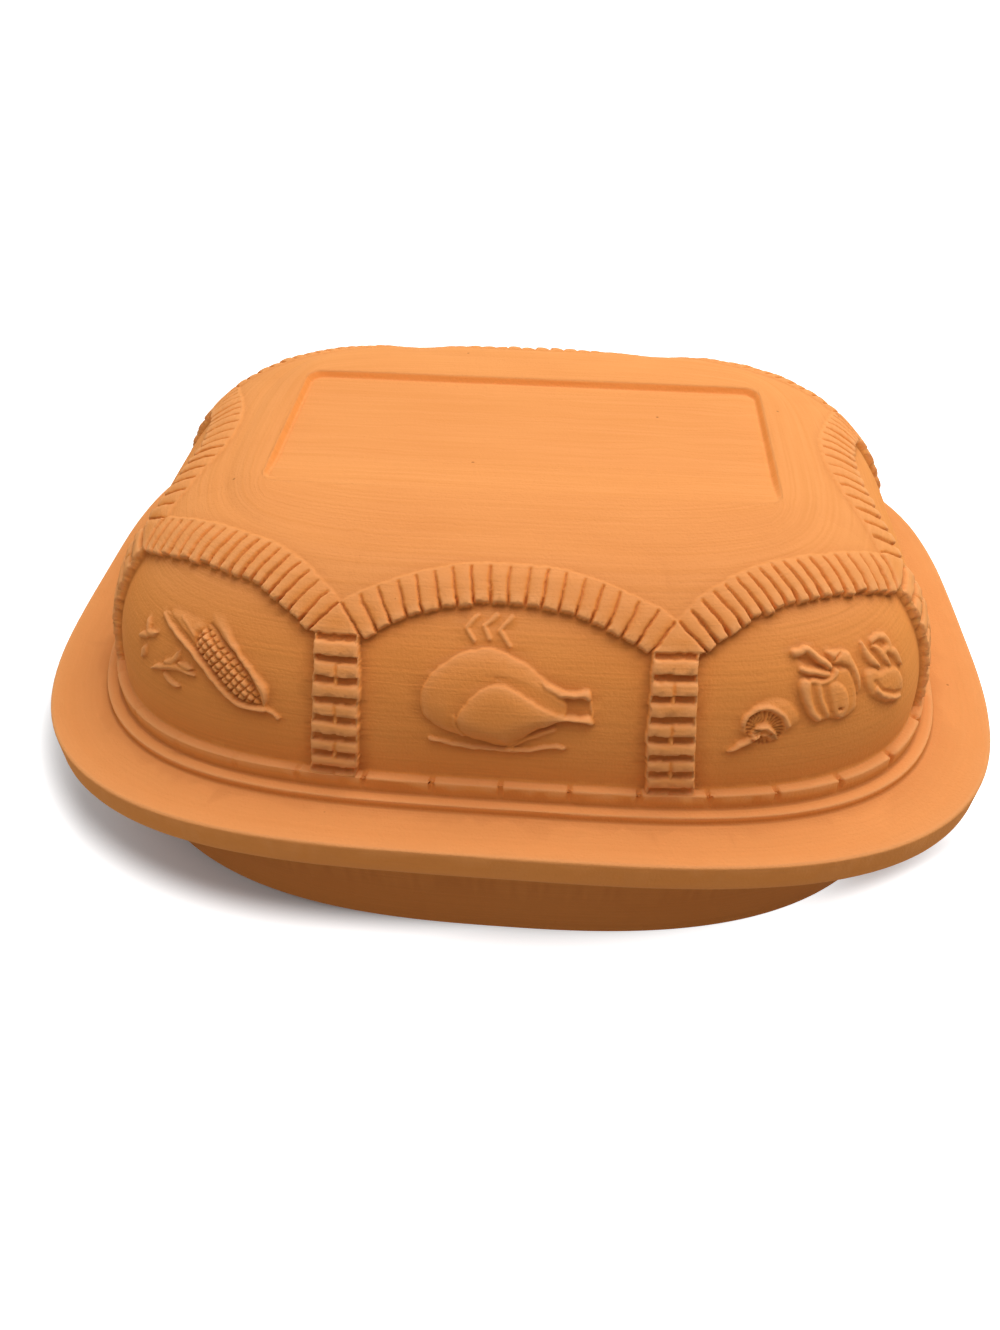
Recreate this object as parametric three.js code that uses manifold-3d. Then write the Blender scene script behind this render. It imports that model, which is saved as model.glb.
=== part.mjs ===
// Unglazed clay roaster: a domed lid with a moulded brick arcade, resting on a deep oval baking dish.
// Millimetres, +Z up. The origin is under the middle of the dish; X runs along the roaster.

import * as THREE from 'three';
import { mergeVertices } from 'three/addons/utils/BufferGeometryUtils.js';
import Module from 'manifold-3d';

const wasm = await Module();
wasm.setup();

// Overall sizes of the closed roaster
const LENGTH = 400; // over the lid's flange
const WIDTH = 296; // over the lid's flange
const FLANGE_SQUARENESS = 3.4; // exponent of a plan's outline: 2 is an ellipse, more is boxier
const BASE_HEIGHT = 68; // foot to seat
const LID_RISE = 87; // top of the flange to the edge of the top panel

// Lid flange and stepped plinth: insets from the flange's edge at the long sides, heights above it
const FLANGE_THICKNESS = 13;
const FLANGE_ROUND = 2;
const PLINTH_INSET = 19;
const PLINTH_HEIGHT = 4; // lower step
const PLINTH_FILLET = 3; // hollow curve where the flange meets the lower step
const PLINTH_LEDGE = 3.5; // tread of each step
const BAND_HEIGHT = 7; // course of long bricks
const BAND_BRICK = 26; // nearest length of one long brick
const BAND_JOINT_WIDTH = 1.8;
const BAND_JOINT_DEPTH = 1.2;

// Lid wall and top. The wall rises in a quarter ellipse to the shoulder, where the top begins
const LID_WALL = 9;
const SHOULDER_SIDE_INSET = 70; // from the flange's edge to the shoulder, on the long sides
const SHOULDER_END_INSET = 85; // and on the ends
const SHOULDER_SQUARENESS = 4;
const SHOULDER_TURN = THREE.MathUtils.degToRad(78); // share of the quarter ellipse
const CROWN_FALL = 4.5; // drop from the panel's edge to the shoulder
const PANEL_LENGTH = 198; // sunk panel on the top
const PANEL_WIDTH = 91;
const PANEL_CORNER = 8;
const PANEL_DEPTH = 2;
const PANEL_DRAFT = 2.5; // how far the panel's floor draws in from its edge
const PANEL_FRONT_DRAFT = 14; // and at the front, where the floor runs out to the edge in a ramp

// Arcade: pillars, keystones and arches standing proud of the wall
const RELIEF = 2.4; // height of brickwork above the wall
const JOINT_HEIGHT = 0.8; // height of a joint's bottom above the wall
const JOINT_WIDTH = 1.4;
const RELIEF_ROOT = 2.5; // how deep the brickwork reaches into the wall
const FRONT_PILLAR_X = 58.5; // pillar axes on the long sides, from the middle
const END_PILLAR_Y = 52; // pillar axes on the ends, from the middle
const PILLAR_WIDTH = 17.5;
const PILLAR_PLUMB = 2.3; // how far a foot draws in to the middle of its side, where the upright lines fan out
const COURSES = 7;
const ARCH_VALLEY = 68; // up the wall from its foot to where two arches meet
const ARCH_RISE = 18; // from there to an arch's crown
const VOUSSOIR_LENGTH = 15.5;
const VOUSSOIR_WIDTH = 6.9; // nearest width of one arch brick at its outer end
const KEYSTONE_HEIGHT = 13.5;

// Baking dish
const BASE_WALL = 10;
const BASE_FLOOR = 10;
const BASE_LEAN = THREE.MathUtils.degToRad(9);
const BASE_SQUARENESS = 2.6;
const BASE_ROUND = 16; // outer edge of the foot
const FLOOR_ROUND = 12; // inner edge of the floor
const FLANGE_OVERHANG = 8; // how far the lid's flange stands out past the dish
const RIM_ROUND = 2; // edges of the dish's rim
const RIB_COUNT = 5; // low ribs that hold the food off the floor
const RIB_PITCH = 30;
const RIB_WIDTH = 9;
const RIB_HEIGHT = 3;
const RIB_END_GAP = 28; // from a rib's end to the edge of the floor
const RIB_BEVEL = 1.5;

// Seat of the lid on the dish
const SEAT_GAP = 0.3;
const LIP_DEPTH = 6; // lip of the lid, inside the mouth of the dish
const LIP_THICKNESS = 7;
const LIP_CLEARANCE = 2;
const LIP_ROUND = 1.5;

// Facets
const STATIONS = 56; // points round each ring of the lid and the dish
const STATION_OUTSET = 150; // stations are even on a line this far out, so corners get more of them
const ARC_STEPS = 2; // steps of a small rounded edge
const OUTER_WALL_STEPS = 7;
const INNER_WALL_STEPS = 4;
const PILLAR_STEPS = 4;
const BRICKS_PER_STEP = 3; // arch bricks in one step of an arch's curve

const TERRACOTTA = { color: 0xd98f55, roughness: 0.9, metalness: 0 };

// Plan

const shoulderA = LENGTH / 2 - SHOULDER_END_INSET;
const shoulderB = WIDTH / 2 - SHOULDER_SIDE_INSET;

/** Point of a superellipse at a polar angle, with its outward normal. */
function outlineAt(angle, a, b, squareness) {
  const c = Math.cos(angle);
  const s = Math.sin(angle);
  const sum = Math.abs(c / a) ** squareness + Math.abs(s / b) ** squareness;
  const point = new THREE.Vector2(c, s).multiplyScalar(sum ** (-1 / squareness));
  const normal = new THREE.Vector2(
    Math.sign(c) * Math.abs(point.x / a) ** (squareness - 1) / a,
    Math.sign(s) * Math.abs(point.y / b) ** (squareness - 1) / b,
  ).normalize();
  return { point, normal };
}

/** Point of a superellipse that has a given outward normal. */
function outlineFacing(normal, a, b, squareness) {
  const root = 1 / (squareness - 1);
  const x = (a * Math.abs(normal.x)) ** root;
  const y = (b * Math.abs(normal.y)) ** root;
  const scale = (x ** squareness + y ** squareness) ** (-1 / squareness);
  return new THREE.Vector2(Math.sign(normal.x) * a * x * scale, Math.sign(normal.y) * b * y * scale);
}

/** Upright line on the lid: where it meets the flange's edge and the shoulder, and which way it faces. */
function station(angle) {
  const { point, normal } = outlineAt(angle, LENGTH / 2, WIDTH / 2, FLANGE_SQUARENESS);
  const shoulder = outlineFacing(normal, shoulderA, shoulderB, SHOULDER_SQUARENESS);
  return { angle, normal, flange: point, shoulder };
}

/** Place on the plan at an inset from the flange's edge; the plan keeps facing its station's way. */
function planAt({ flange, shoulder }, inset) {
  return new THREE.Vector2().lerpVectors(flange, shoulder, inset / SHOULDER_SIDE_INSET);
}

/** Line round the plan at one inset, measured by its own length from the +X end. */
function planLine(inset) {
  const samples = 2880;
  const places = Array.from({ length: samples + 1 }, (_, i) => (
    planAt(station((2 * Math.PI * i) / samples), inset)
  ));
  const lengths = [0];
  for (let i = 1; i <= samples; i += 1) {
    lengths.push(lengths[i - 1] + places[i].distanceTo(places[i - 1]));
  }
  const total = lengths[samples];

  /** Station at a distance along the line. */
  function stationAt(distance) {
    const d = THREE.MathUtils.euclideanModulo(distance, total);
    const i = Math.max(1, lengths.findIndex((length) => length > d));
    const share = (d - lengths[i - 1]) / (lengths[i] - lengths[i - 1]);
    return station((2 * Math.PI * (i - 1 + share)) / samples);
  }

  /** Distance, in the first quarter turn, where a coordinate comes to a value. */
  function distanceWhere(axis, value) {
    const i = places.findIndex((p, k) => k > 0 && (p[axis] - value) * (places[k - 1][axis] - value) <= 0);
    const share = (value - places[i - 1][axis]) / (places[i][axis] - places[i - 1][axis]);
    return THREE.MathUtils.lerp(lengths[i - 1], lengths[i], share);
  }

  return { total, stationAt, distanceWhere };
}

const outerLine = planLine(-STATION_OUTSET);
const stations = Array.from({ length: STATIONS }, (_, i) => (
  outerLine.stationAt((outerLine.total * i) / STATIONS)
));

/** Ring of the lid at an inset from the flange's edge and a height. */
function lidRing(inset, z) {
  return stations.map((line) => {
    const p = planAt(line, inset);
    return new THREE.Vector3(p.x, p.y, z);
  });
}

/** Ring that keeps a distance inside the dish's rim. */
function dishRing(inset, z) {
  const a = LENGTH / 2 - FLANGE_OVERHANG;
  const b = WIDTH / 2 - FLANGE_OVERHANG;
  return stations.map(({ angle }) => {
    const { point, normal } = outlineAt(angle, a, b, BASE_SQUARENESS);
    const p = point.addScaledVector(normal, -inset);
    return new THREE.Vector3(p.x, p.y, z);
  });
}

/** Ring that follows a rectangle with rounded corners. */
function panelRing(length, width, corner, z) {
  const coreX = length / 2 - corner;
  const coreY = width / 2 - corner;
  return stations.map(({ shoulder, normal }) => new THREE.Vector3(
    THREE.MathUtils.clamp(shoulder.x, -coreX, coreX) + corner * normal.x,
    THREE.MathUtils.clamp(shoulder.y, -coreY, coreY) + corner * normal.y,
    z,
  ));
}

// Profiles: points [inset, height] that a ring is drawn through

/** Arc of a profile about a centre, its angle measured from inward towards up. */
function profileArc(inset, z, radius, from, to, steps) {
  return Array.from({ length: steps + 1 }, (_, i) => {
    const angle = THREE.MathUtils.degToRad(THREE.MathUtils.lerp(from, to, i / steps));
    return [inset + radius * Math.cos(angle), z + radius * Math.sin(angle)];
  });
}

const wallInset = PLINTH_INSET + 2 * PLINTH_LEDGE;
const wallFoot = PLINTH_HEIGHT + BAND_HEIGHT;
const wallRun = (SHOULDER_SIDE_INSET - wallInset) / (1 - Math.cos(SHOULDER_TURN));
const wallRise = (LID_RISE - CROWN_FALL - wallFoot) / Math.sin(SHOULDER_TURN);
const wallCurve = new THREE.EllipseCurve(
  wallInset + wallRun,
  wallFoot,
  wallRun,
  wallRise,
  Math.PI,
  Math.PI - SHOULDER_TURN,
  true,
);
const wallLength = wallCurve.getLength();

/**
 * Place on the lid's wall: a station, a distance up the wall and a height off its surface.
 * Past the shoulder the wall's line goes on straight.
 */
function wallPlace(line, up, off) {
  const share = Math.min(up / wallLength, 1);
  const slope = wallCurve.getTangentAt(share);
  const foot = wallCurve.getPointAt(share).addScaledVector(slope, Math.max(up - wallLength, 0));
  const p = planAt(line, foot.x).addScaledVector(line.normal, off * slope.y);
  return new THREE.Vector3(p.x, p.y, foot.y + off * slope.x);
}

/** Rings up the lid's wall from its foot to the shoulder, at a height off its surface. */
function wallRings(off, steps) {
  return Array.from({ length: steps + 1 }, (_, i) => (
    stations.map((line) => wallPlace(line, (wallLength * i) / steps, off))
  ));
}

// Meshes and solids

/** Closed geometry through rings of equal count, with a flat cap on the first and the last. */
function loft(rings) {
  const count = rings[0].length;
  const points = rings.flat();
  const faces = [];
  for (let k = 0; k + 1 < rings.length; k += 1) {
    for (let i = 0; i < count; i += 1) {
      const a = k * count + i;
      const b = k * count + ((i + 1) % count);
      faces.push(a, a + count, b, b, a + count, b + count);
    }
  }
  const lastRing = points.length - count;
  for (const [first, flip] of [[0, false], [lastRing, true]]) {
    const middle = new THREE.Vector3();
    for (let i = 0; i < count; i += 1) {
      middle.addScaledVector(points[first + i], 1 / count);
    }
    const hub = points.push(middle) - 1;
    for (let i = 0; i < count; i += 1) {
      const a = first + i;
      const b = first + ((i + 1) % count);
      faces.push(hub, flip ? b : a, flip ? a : b);
    }
  }
  return new THREE.BufferGeometry().setFromPoints(points).setIndex(faces);
}

/** Closed geometry between an outer grid of points and a grid of the same size below it. */
function slab(outer, inner) {
  const rows = outer.length;
  const columns = outer[0].length;
  const points = [...outer.flat(), ...inner.flat()];
  const under = rows * columns;
  const faces = [];
  const quad = (a, b, c, d) => faces.push(a, b, c, a, c, d);
  for (let r = 0; r + 1 < rows; r += 1) {
    for (let c = 0; c + 1 < columns; c += 1) {
      const a = r * columns + c;
      const b = a + columns;
      quad(a, a + 1, b + 1, b);
      quad(under + a, under + b, under + b + 1, under + a + 1);
    }
  }
  for (let r = 0; r + 1 < rows; r += 1) {
    const a = r * columns;
    const b = a + columns - 1;
    quad(a, a + columns, under + a + columns, under + a);
    quad(b + columns, b, under + b, under + b + columns);
  }
  for (let c = 0; c + 1 < columns; c += 1) {
    const b = (rows - 1) * columns + c;
    quad(c + 1, c, under + c, under + c + 1);
    quad(b, b + 1, under + b + 1, under + b);
  }
  return new THREE.BufferGeometry().setFromPoints(points).setIndex(faces);
}

function toSolid(geometry) {
  const bare = geometry.clone();
  bare.deleteAttribute('normal');
  bare.deleteAttribute('uv');
  const merged = mergeVertices(bare, 1e-5);
  return new wasm.Manifold(new wasm.Mesh({
    numProp: 3,
    vertProperties: new Float32Array(merged.attributes.position.array),
    triVerts: new Uint32Array(merged.index.array),
  }));
}

function toMesh(name, solid) {
  const { vertProperties, triVerts } = solid.getMesh();
  const geometry = new THREE.BufferGeometry();
  geometry.setAttribute('position', new THREE.BufferAttribute(vertProperties, 3));
  geometry.setIndex(new THREE.BufferAttribute(triVerts, 1));
  geometry.computeVertexNormals();
  const mesh = new THREE.Mesh(geometry, new THREE.MeshStandardMaterial(TERRACOTTA));
  mesh.name = name;
  return mesh;
}

// Lid

const mouthInset = BASE_WALL / Math.cos(BASE_LEAN); // inside the dish's rim
const lipInset = mouthInset + LIP_CLEARANCE;

/** Ring round the floor of the sunk panel. */
function panelFloor() {
  const length = PANEL_LENGTH - 2 * PANEL_DRAFT;
  const width = PANEL_WIDTH - PANEL_DRAFT - PANEL_FRONT_DRAFT;
  const floor = panelRing(length, width, PANEL_CORNER - PANEL_DRAFT, LID_RISE - PANEL_DEPTH);
  const back = new THREE.Vector3(0, (PANEL_FRONT_DRAFT - PANEL_DRAFT) / 2, 0);
  return floor.map((point) => point.add(back));
}

/** Rings over the outside of the lid, from the panel's floor down to the flange's underside. */
function lidOutside() {
  const bandInset = PLINTH_INSET + PLINTH_LEDGE;
  const steps = [
    [bandInset, wallFoot],
    [bandInset, PLINTH_HEIGHT],
    [PLINTH_INSET, PLINTH_HEIGHT],
    ...profileArc(PLINTH_INSET - PLINTH_FILLET, PLINTH_FILLET, PLINTH_FILLET, 0, -90, ARC_STEPS),
    ...profileArc(FLANGE_ROUND, -FLANGE_ROUND, FLANGE_ROUND, 90, 180, ARC_STEPS),
    ...profileArc(FLANGE_ROUND, FLANGE_ROUND - FLANGE_THICKNESS, FLANGE_ROUND, 180, 270, ARC_STEPS),
  ];
  return [
    panelFloor(),
    panelRing(PANEL_LENGTH, PANEL_WIDTH, PANEL_CORNER, LID_RISE),
    ...wallRings(0, OUTER_WALL_STEPS).reverse(),
    ...steps.map(([inset, z]) => lidRing(inset, z)),
  ];
}

/** Rings from the lip up the inside of the lid to its ceiling. */
function lidInside() {
  const underside = -FLANGE_THICKNESS;
  const tip = underside - LIP_DEPTH;
  const inner = lipInset + LIP_THICKNESS;
  const lip = [
    [lipInset, underside],
    ...profileArc(lipInset + LIP_ROUND, tip + LIP_ROUND, LIP_ROUND, 180, 270, ARC_STEPS),
    ...profileArc(inner - LIP_ROUND, tip + LIP_ROUND, LIP_ROUND, 270, 360, ARC_STEPS),
    [inner, underside],
  ];
  const ceiling = LID_RISE - PANEL_DEPTH - LID_WALL;
  return [
    ...lip.map(([inset, z]) => dishRing(inset, z)),
    ...wallRings(-LID_WALL, INNER_WALL_STEPS),
    panelRing(PANEL_LENGTH - 2 * LID_WALL, PANEL_WIDTH - 2 * LID_WALL, PANEL_CORNER, ceiling),
  ];
}

const arcadeLine = planLine(wallCurve.getPointAt(ARCH_VALLEY / wallLength).x);

/** Place on the lid's wall: a distance along the arcade, a distance up, a height off the wall. */
function onWall(along, up, off) {
  return wallPlace(arcadeLine.stationAt(along), up, off);
}

/** Raised work that follows the wall, over a grid of places [along, up]. */
function raised(grid) {
  const atHeight = (off) => grid.map((row) => row.map(([along, up]) => onWall(along, up, off)));
  return toSolid(slab(atHeight(RELIEF), atHeight(-RELIEF_ROOT)));
}

/** Cut for a V joint through raised work, from one place [along, up] to another. */
function jointCut(from, to) {
  const travel = new THREE.Vector2(to[0] - from[0], to[1] - from[1]).normalize();
  const lip = 2 * RELIEF - JOINT_HEIGHT; // the cut opens out to as far above the work as it is deep
  return toSolid(loft([from, to].map(([along, up]) => [
    onWall(along, up, JOINT_HEIGHT),
    onWall(along + travel.y * JOINT_WIDTH, up - travel.x * JOINT_WIDTH, lip),
    onWall(along - travel.y * JOINT_WIDTH, up + travel.x * JOINT_WIDTH, lip),
  ])));
}

/** Pillar of brick courses, every other course split in two by an upright joint. Its foot is shifted along. */
function pillar(along, footShift) {
  const half = PILLAR_WIDTH / 2;
  const past = half + JOINT_WIDTH;
  const top = ARCH_VALLEY - KEYSTONE_HEIGHT - JOINT_WIDTH;
  const axis = (up) => along + footShift * (1 - up / top);
  const joints = [];
  for (let course = 1; course < COURSES; course += 1) {
    const low = (top * course) / COURSES;
    const high = (top * (course + 1)) / COURSES;
    joints.push(jointCut([axis(low) - past, low], [axis(low) + past, low]));
    if (course % 2 === 1) joints.push(jointCut([axis(low), low], [axis(high), high]));
  }
  const rows = Array.from({ length: PILLAR_STEPS + 1 }, (_, i) => {
    const up = (top * i) / PILLAR_STEPS;
    return [[axis(up) - half, up], [axis(up) + half, up]];
  });
  return { work: raised(rows), joints };
}

/** Three-sided stone between two arches, its point up. */
function keystone(along) {
  const base = ARCH_VALLEY - KEYSTONE_HEIGHT;
  const tip = ARCH_VALLEY - JOINT_WIDTH;
  const half = PILLAR_WIDTH / 2 - JOINT_WIDTH / 2;
  const tipHalf = JOINT_WIDTH / 4;
  const outline = [
    [[along - half, base], [along + half, base]],
    [[along - tipHalf, tip], [along + tipHalf, tip]],
  ];
  return { work: raised(outline), joints: [] };
}

/** Arch of wedge bricks over the bay between two pillars. */
function arch(from, to) {
  const middle = (from + to) / 2;
  const half = (to - from) / 2;
  const radius = (half ** 2 + ARCH_RISE ** 2) / (2 * ARCH_RISE);
  const inner = radius - VOUSSOIR_LENGTH;
  const centre = ARCH_VALLEY + ARCH_RISE - radius;
  const spread = Math.asin(half / radius) - JOINT_WIDTH / 2 / radius;
  const count = 2 * Math.round((spread * radius) / VOUSSOIR_WIDTH);
  const angles = Array.from({ length: count + 1 }, (_, i) => spread * ((2 * i) / count - 1));
  const place = (r, angle) => [middle + r * Math.sin(angle), centre + r * Math.cos(angle)];
  const steps = Math.round(count / BRICKS_PER_STEP);
  const bandAngles = Array.from({ length: steps + 1 }, (_, i) => spread * ((2 * i) / steps - 1));
  const joints = angles.slice(1, -1).map((angle) => (
    jointCut(place(inner - JOINT_WIDTH, angle), place(radius + JOINT_WIDTH, angle))
  ));
  const rows = [inner, radius].map((r) => bandAngles.map((angle) => place(r, angle)));
  return { work: raised(rows), joints };
}

/** Distances along the arcade of its eight pillars, counter-clockwise from the +X end. */
function pillarPlaces() {
  const end = arcadeLine.distanceWhere('y', END_PILLAR_Y);
  const side = arcadeLine.distanceWhere('x', FRONT_PILLAR_X);
  const turn = arcadeLine.total;
  const half = turn / 2;
  return [end, side, half - side, half - end, half + end, half + side, turn - side, turn - end];
}

/** Cuts that split the plinth's band into long bricks, one joint in the middle of each side. */
function bandJoints() {
  const bandLine = planLine(PLINTH_INSET + PLINTH_LEDGE);
  const quarterCount = Math.round(bandLine.total / 4 / BAND_BRICK);
  const count = 4 * quarterCount;
  return Array.from({ length: count }, (_, i) => {
    const line = bandLine.stationAt((bandLine.total * (i + 0.5)) / count);
    const cut = new THREE.BoxGeometry(2 * BAND_JOINT_DEPTH, BAND_JOINT_WIDTH, 2 * BAND_HEIGHT);
    cut.rotateZ(line.normal.angle());
    const p = planAt(line, PLINTH_INSET + PLINTH_LEDGE);
    cut.translate(p.x, p.y, PLINTH_HEIGHT + BAND_HEIGHT);
    return toSolid(cut);
  });
}

function makeLid() {
  const places = pillarPlaces();
  const arcade = places.flatMap((place, i) => {
    const next = i + 1 < places.length ? places[i + 1] : places[0] + arcadeLine.total;
    const footShift = i % 2 === 0 ? -PILLAR_PLUMB : PILLAR_PLUMB;
    return [pillar(place, footShift), keystone(place), arch(place, next)];
  });
  let solid = toSolid(loft([...lidOutside(), ...lidInside()]));
  for (const { work } of arcade) {
    solid = solid.add(work);
  }
  for (const cut of [...bandJoints(), ...arcade.flatMap(({ joints }) => joints)]) {
    solid = solid.subtract(cut);
  }
  const lid = toMesh('lid', solid);
  lid.position.z = BASE_HEIGHT + SEAT_GAP + FLANGE_THICKNESS;
  return lid;
}

// Baking dish

const floorInset = mouthInset + (BASE_HEIGHT - BASE_FLOOR) * Math.tan(BASE_LEAN);
const footInset = BASE_HEIGHT * Math.tan(BASE_LEAN);

/** Round between a level floor and a wall that leans out: profile points from floor to wall. */
function floorRound(inset, floor, radius, steps) {
  const lean = THREE.MathUtils.radToDeg(BASE_LEAN);
  const reach = radius * Math.tan((Math.PI / 2 - BASE_LEAN) / 2); // from the corner to the round's end
  return profileArc(inset + reach, floor + radius, radius, 270, 180 + lean, steps);
}

/** Rings of the dish, from its inner floor over the rim and down to its foot. */
function baseRings() {
  const roundSteps = 3;
  const rim = BASE_HEIGHT - RIM_ROUND;
  const profile = [
    ...floorRound(floorInset, BASE_FLOOR, FLOOR_ROUND, roundSteps),
    ...profileArc(mouthInset - RIM_ROUND, rim, RIM_ROUND, 0, 90, ARC_STEPS),
    ...profileArc(RIM_ROUND, rim, RIM_ROUND, 90, 180, ARC_STEPS),
    ...floorRound(footInset, 0, BASE_ROUND, roundSteps).reverse(),
  ];
  return profile.map(([inset, z]) => dishRing(inset, z));
}

/** Low rib with round ends on the dish's floor. */
function rib(y) {
  const reach = LENGTH / 2 - FLANGE_OVERHANG - floorInset - FLOOR_ROUND - RIB_END_GAP;
  const half = RIB_WIDTH / 2 - RIB_BEVEL;
  const outline = new THREE.Shape();
  outline.absarc(reach - RIB_WIDTH / 2, 0, half, -Math.PI / 2, Math.PI / 2);
  outline.absarc(-(reach - RIB_WIDTH / 2), 0, half, Math.PI / 2, 1.5 * Math.PI);
  const geometry = new THREE.ExtrudeGeometry(outline, {
    depth: BASE_FLOOR / 2,
    curveSegments: 4,
    bevelThickness: RIB_BEVEL,
    bevelSize: RIB_BEVEL,
    bevelSegments: 1,
  });
  const top = BASE_FLOOR + RIB_HEIGHT;
  geometry.translate(0, y, top - BASE_FLOOR / 2 - RIB_BEVEL);
  return toSolid(geometry);
}

function makeBase() {
  let solid = toSolid(loft(baseRings()));
  for (let i = 0; i < RIB_COUNT; i += 1) {
    solid = solid.add(rib((i - (RIB_COUNT - 1) / 2) * RIB_PITCH));
  }
  return toMesh('base', solid);
}

const roaster = new THREE.Group();
roaster.add(makeBase(), makeLid());

export default roaster;
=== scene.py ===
import math

import bpy
import numpy as np
from mathutils import Matrix, Vector


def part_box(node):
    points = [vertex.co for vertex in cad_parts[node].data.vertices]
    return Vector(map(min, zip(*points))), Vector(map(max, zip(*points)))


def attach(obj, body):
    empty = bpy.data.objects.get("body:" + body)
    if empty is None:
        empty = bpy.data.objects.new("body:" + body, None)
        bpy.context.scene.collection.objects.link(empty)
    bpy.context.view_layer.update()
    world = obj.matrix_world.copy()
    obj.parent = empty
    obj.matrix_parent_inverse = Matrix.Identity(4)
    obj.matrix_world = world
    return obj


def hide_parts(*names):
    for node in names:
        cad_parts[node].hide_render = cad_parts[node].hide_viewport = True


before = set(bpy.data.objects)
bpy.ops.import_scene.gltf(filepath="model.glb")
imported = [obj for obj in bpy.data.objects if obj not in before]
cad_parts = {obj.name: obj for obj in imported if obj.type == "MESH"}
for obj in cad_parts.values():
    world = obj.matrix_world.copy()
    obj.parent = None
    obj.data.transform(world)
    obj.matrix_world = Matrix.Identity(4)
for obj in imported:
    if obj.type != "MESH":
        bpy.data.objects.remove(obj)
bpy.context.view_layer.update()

MM = 0.001  # metres

# Overall sizes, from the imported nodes
lid_low, lid_high = (np.array(corner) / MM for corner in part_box("lid"))
dish_low, dish_high = (np.array(corner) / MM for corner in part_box("base"))
HALF_LENGTH, HALF_WIDTH = (lid_high - lid_low)[:2] / 2
DISH_HALF_LENGTH, DISH_HALF_WIDTH = (dish_high - dish_low)[:2] / 2
DISH_HEIGHT = dish_high[2]

# Lid flange and stepped plinth: insets from the flange's edge, heights above its top
LID_RISE = 87
FLANGE_TOP = lid_high[2] - LID_RISE
FLANGE_SQUARENESS = 3.4  # exponent of a plan's outline: 2 is an ellipse, more is boxier
FLANGE_THICKNESS = 13
FLANGE_UPPER_ROUND = 1.6
FLANGE_LOWER_ROUND = 2.4
FLANGE_EDGE = 14.6  # the flange's edge hangs down a little, outside the dish's rim
FLANGE_UNDERSIDE = 5  # width of the strip that hangs down
FLANGE_EDGE_SLOPE = 2
FLANGE_EDGE_ROUND = 0.5
PLINTH_INSET = 19
PLINTH_HEIGHT = 4
PLINTH_HOLLOW = 12  # width of the soft hollow between the flange and the plinth
PLINTH_HOLLOW_RISE = 0.6
PLINTH_HOLLOW_ROUND = 25
PLINTH_FOOT_ROUND = 1
PLINTH_LEDGE = 3.5
STEP_ROUND = 0.6
BAND_INSET = 23.4
BAND_HEIGHT = 7
BAND_BRICK = 26
BAND_JOINT = 1.6
BAND_JOINT_DEPTH = 2.2  # at the top of the band; the joints run out to nothing at its foot
WORN_LEFT = -95  # the joints are worn down to a share of their depth left of this X
WORN_FADE = 50
WORN_JOINT = 0.15

# Lid wall and top
LID_WALL = 9
SHOULDER_SIDE_INSET = 70
SHOULDER_END_INSET = 85
SHOULDER_SQUARENESS = 4
SHOULDER_TURN = math.radians(78)
CROWN_FALL = 4.5
CROWN_START = 1.79  # slope of the crown at the shoulder, against its mean slope
PANEL_LENGTH = 198
PANEL_WIDTH = 91
PANEL_CORNER = 8
PANEL_DEPTH = 2
PANEL_STEP = 3  # width of the slope down to the panel's floor
PANEL_FRONT_STEP = 24  # the floor rises to the front edge in a long soft ramp
PANEL_BORDER = 4.5
PANEL_GROOVE = 0.9  # depth of the groove at the foot of the slope
GROOVE_INSET = 2.2
GROOVE_HALF = 1.8
GROOVE_FRONT = 2  # it begins this far behind the front edge
GROOVE_FADE = 6
PANEL_EDGE_WAVE = -0.15  # the waviness of the top comes to this all along the panel's edge
PANEL_LUMP = (30, 22)
PANEL_WAVE_FADE = 15

# Slow waviness of the outside: how deep, lumps round the lid, and the height of one
BROAD_WAVE = (0.14, 24, 38)
SMALL_WAVE = (0.05, 110, 9)

# Arcade: heights off the wall, widths along it
FIELD = -1.1  # the plain ground between the pillars lies under the wall's own line
CROWN = 1.0  # the top stands over that line next to the arches
CROWN_FADE = 20
BRICK = 2.4
BRICK_RIM = 1.6  # height of the arch bricks' outer ends
BRICK_BULGE = 0.5  # how much higher an arch brick is along its middle
JOINT = 0.4  # width of the bottom of a joint between bricks
JOINT_FLOOR = 0.7
BRICK_ROUND = 0.8
ARCH_RIM = 1.2  # unbroken rim round the outer ends of the arch bricks
ARCH_VALLEY = 68
ARCH_RISE = 18
ARCH_BRICK_LENGTH = 15.5
ARCH_BRICKS = [17, 18, 17, 16]  # in the arches of a corner, a side, a corner and an end
BRICK_LIFT = (-0.3, 0.15)  # least and most that an arch brick stands up over the others,
BRICK_LEAN = (-0.3, 0.3)  # leans sideways,
BRICK_SHORT = (-0.4, 0.8)  # is shorter
JOINT_GAPE = (0.4, 1.8)  # and has a wider joint, in joints
BRICK_END_ROUND = 0.9
JOINT_END = 5  # length at the bricks' inner ends where the joints open out and deepen
JOINT_END_OPENING = 0.2
RIM_SLOPE = 7  # length of the slope up from the bricks' outer ends
RIM_BLEND = 1.2
CROWN_BLEND = 1.4
KEYSTONE_HEIGHT = 11.4
FRONT_PILLAR_X = 58.5
END_PILLAR_Y = 52
PILLAR_WIDTH = 14.8
PLUMB_MOST = 4.3  # pillars stand plumb where the upright lines fan out: how far they draw in, at most
PLUMB_AT = 25  # height where they draw in most
PLUMB_NEAR = 10  # what is this near to a pillar draws in with it
PLUMB_FADE = 35
COURSE = 7.6  # height of a pillar's brick with its joint
TOP_JOINT = ARCH_VALLEY - KEYSTONE_HEIGHT - 1  # middle of the joint under the keystone
SLOT = 2  # height of the open joints at the top of a pillar
SLOT_GROWTH = 0.17  # and how much higher each one below it is
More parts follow.
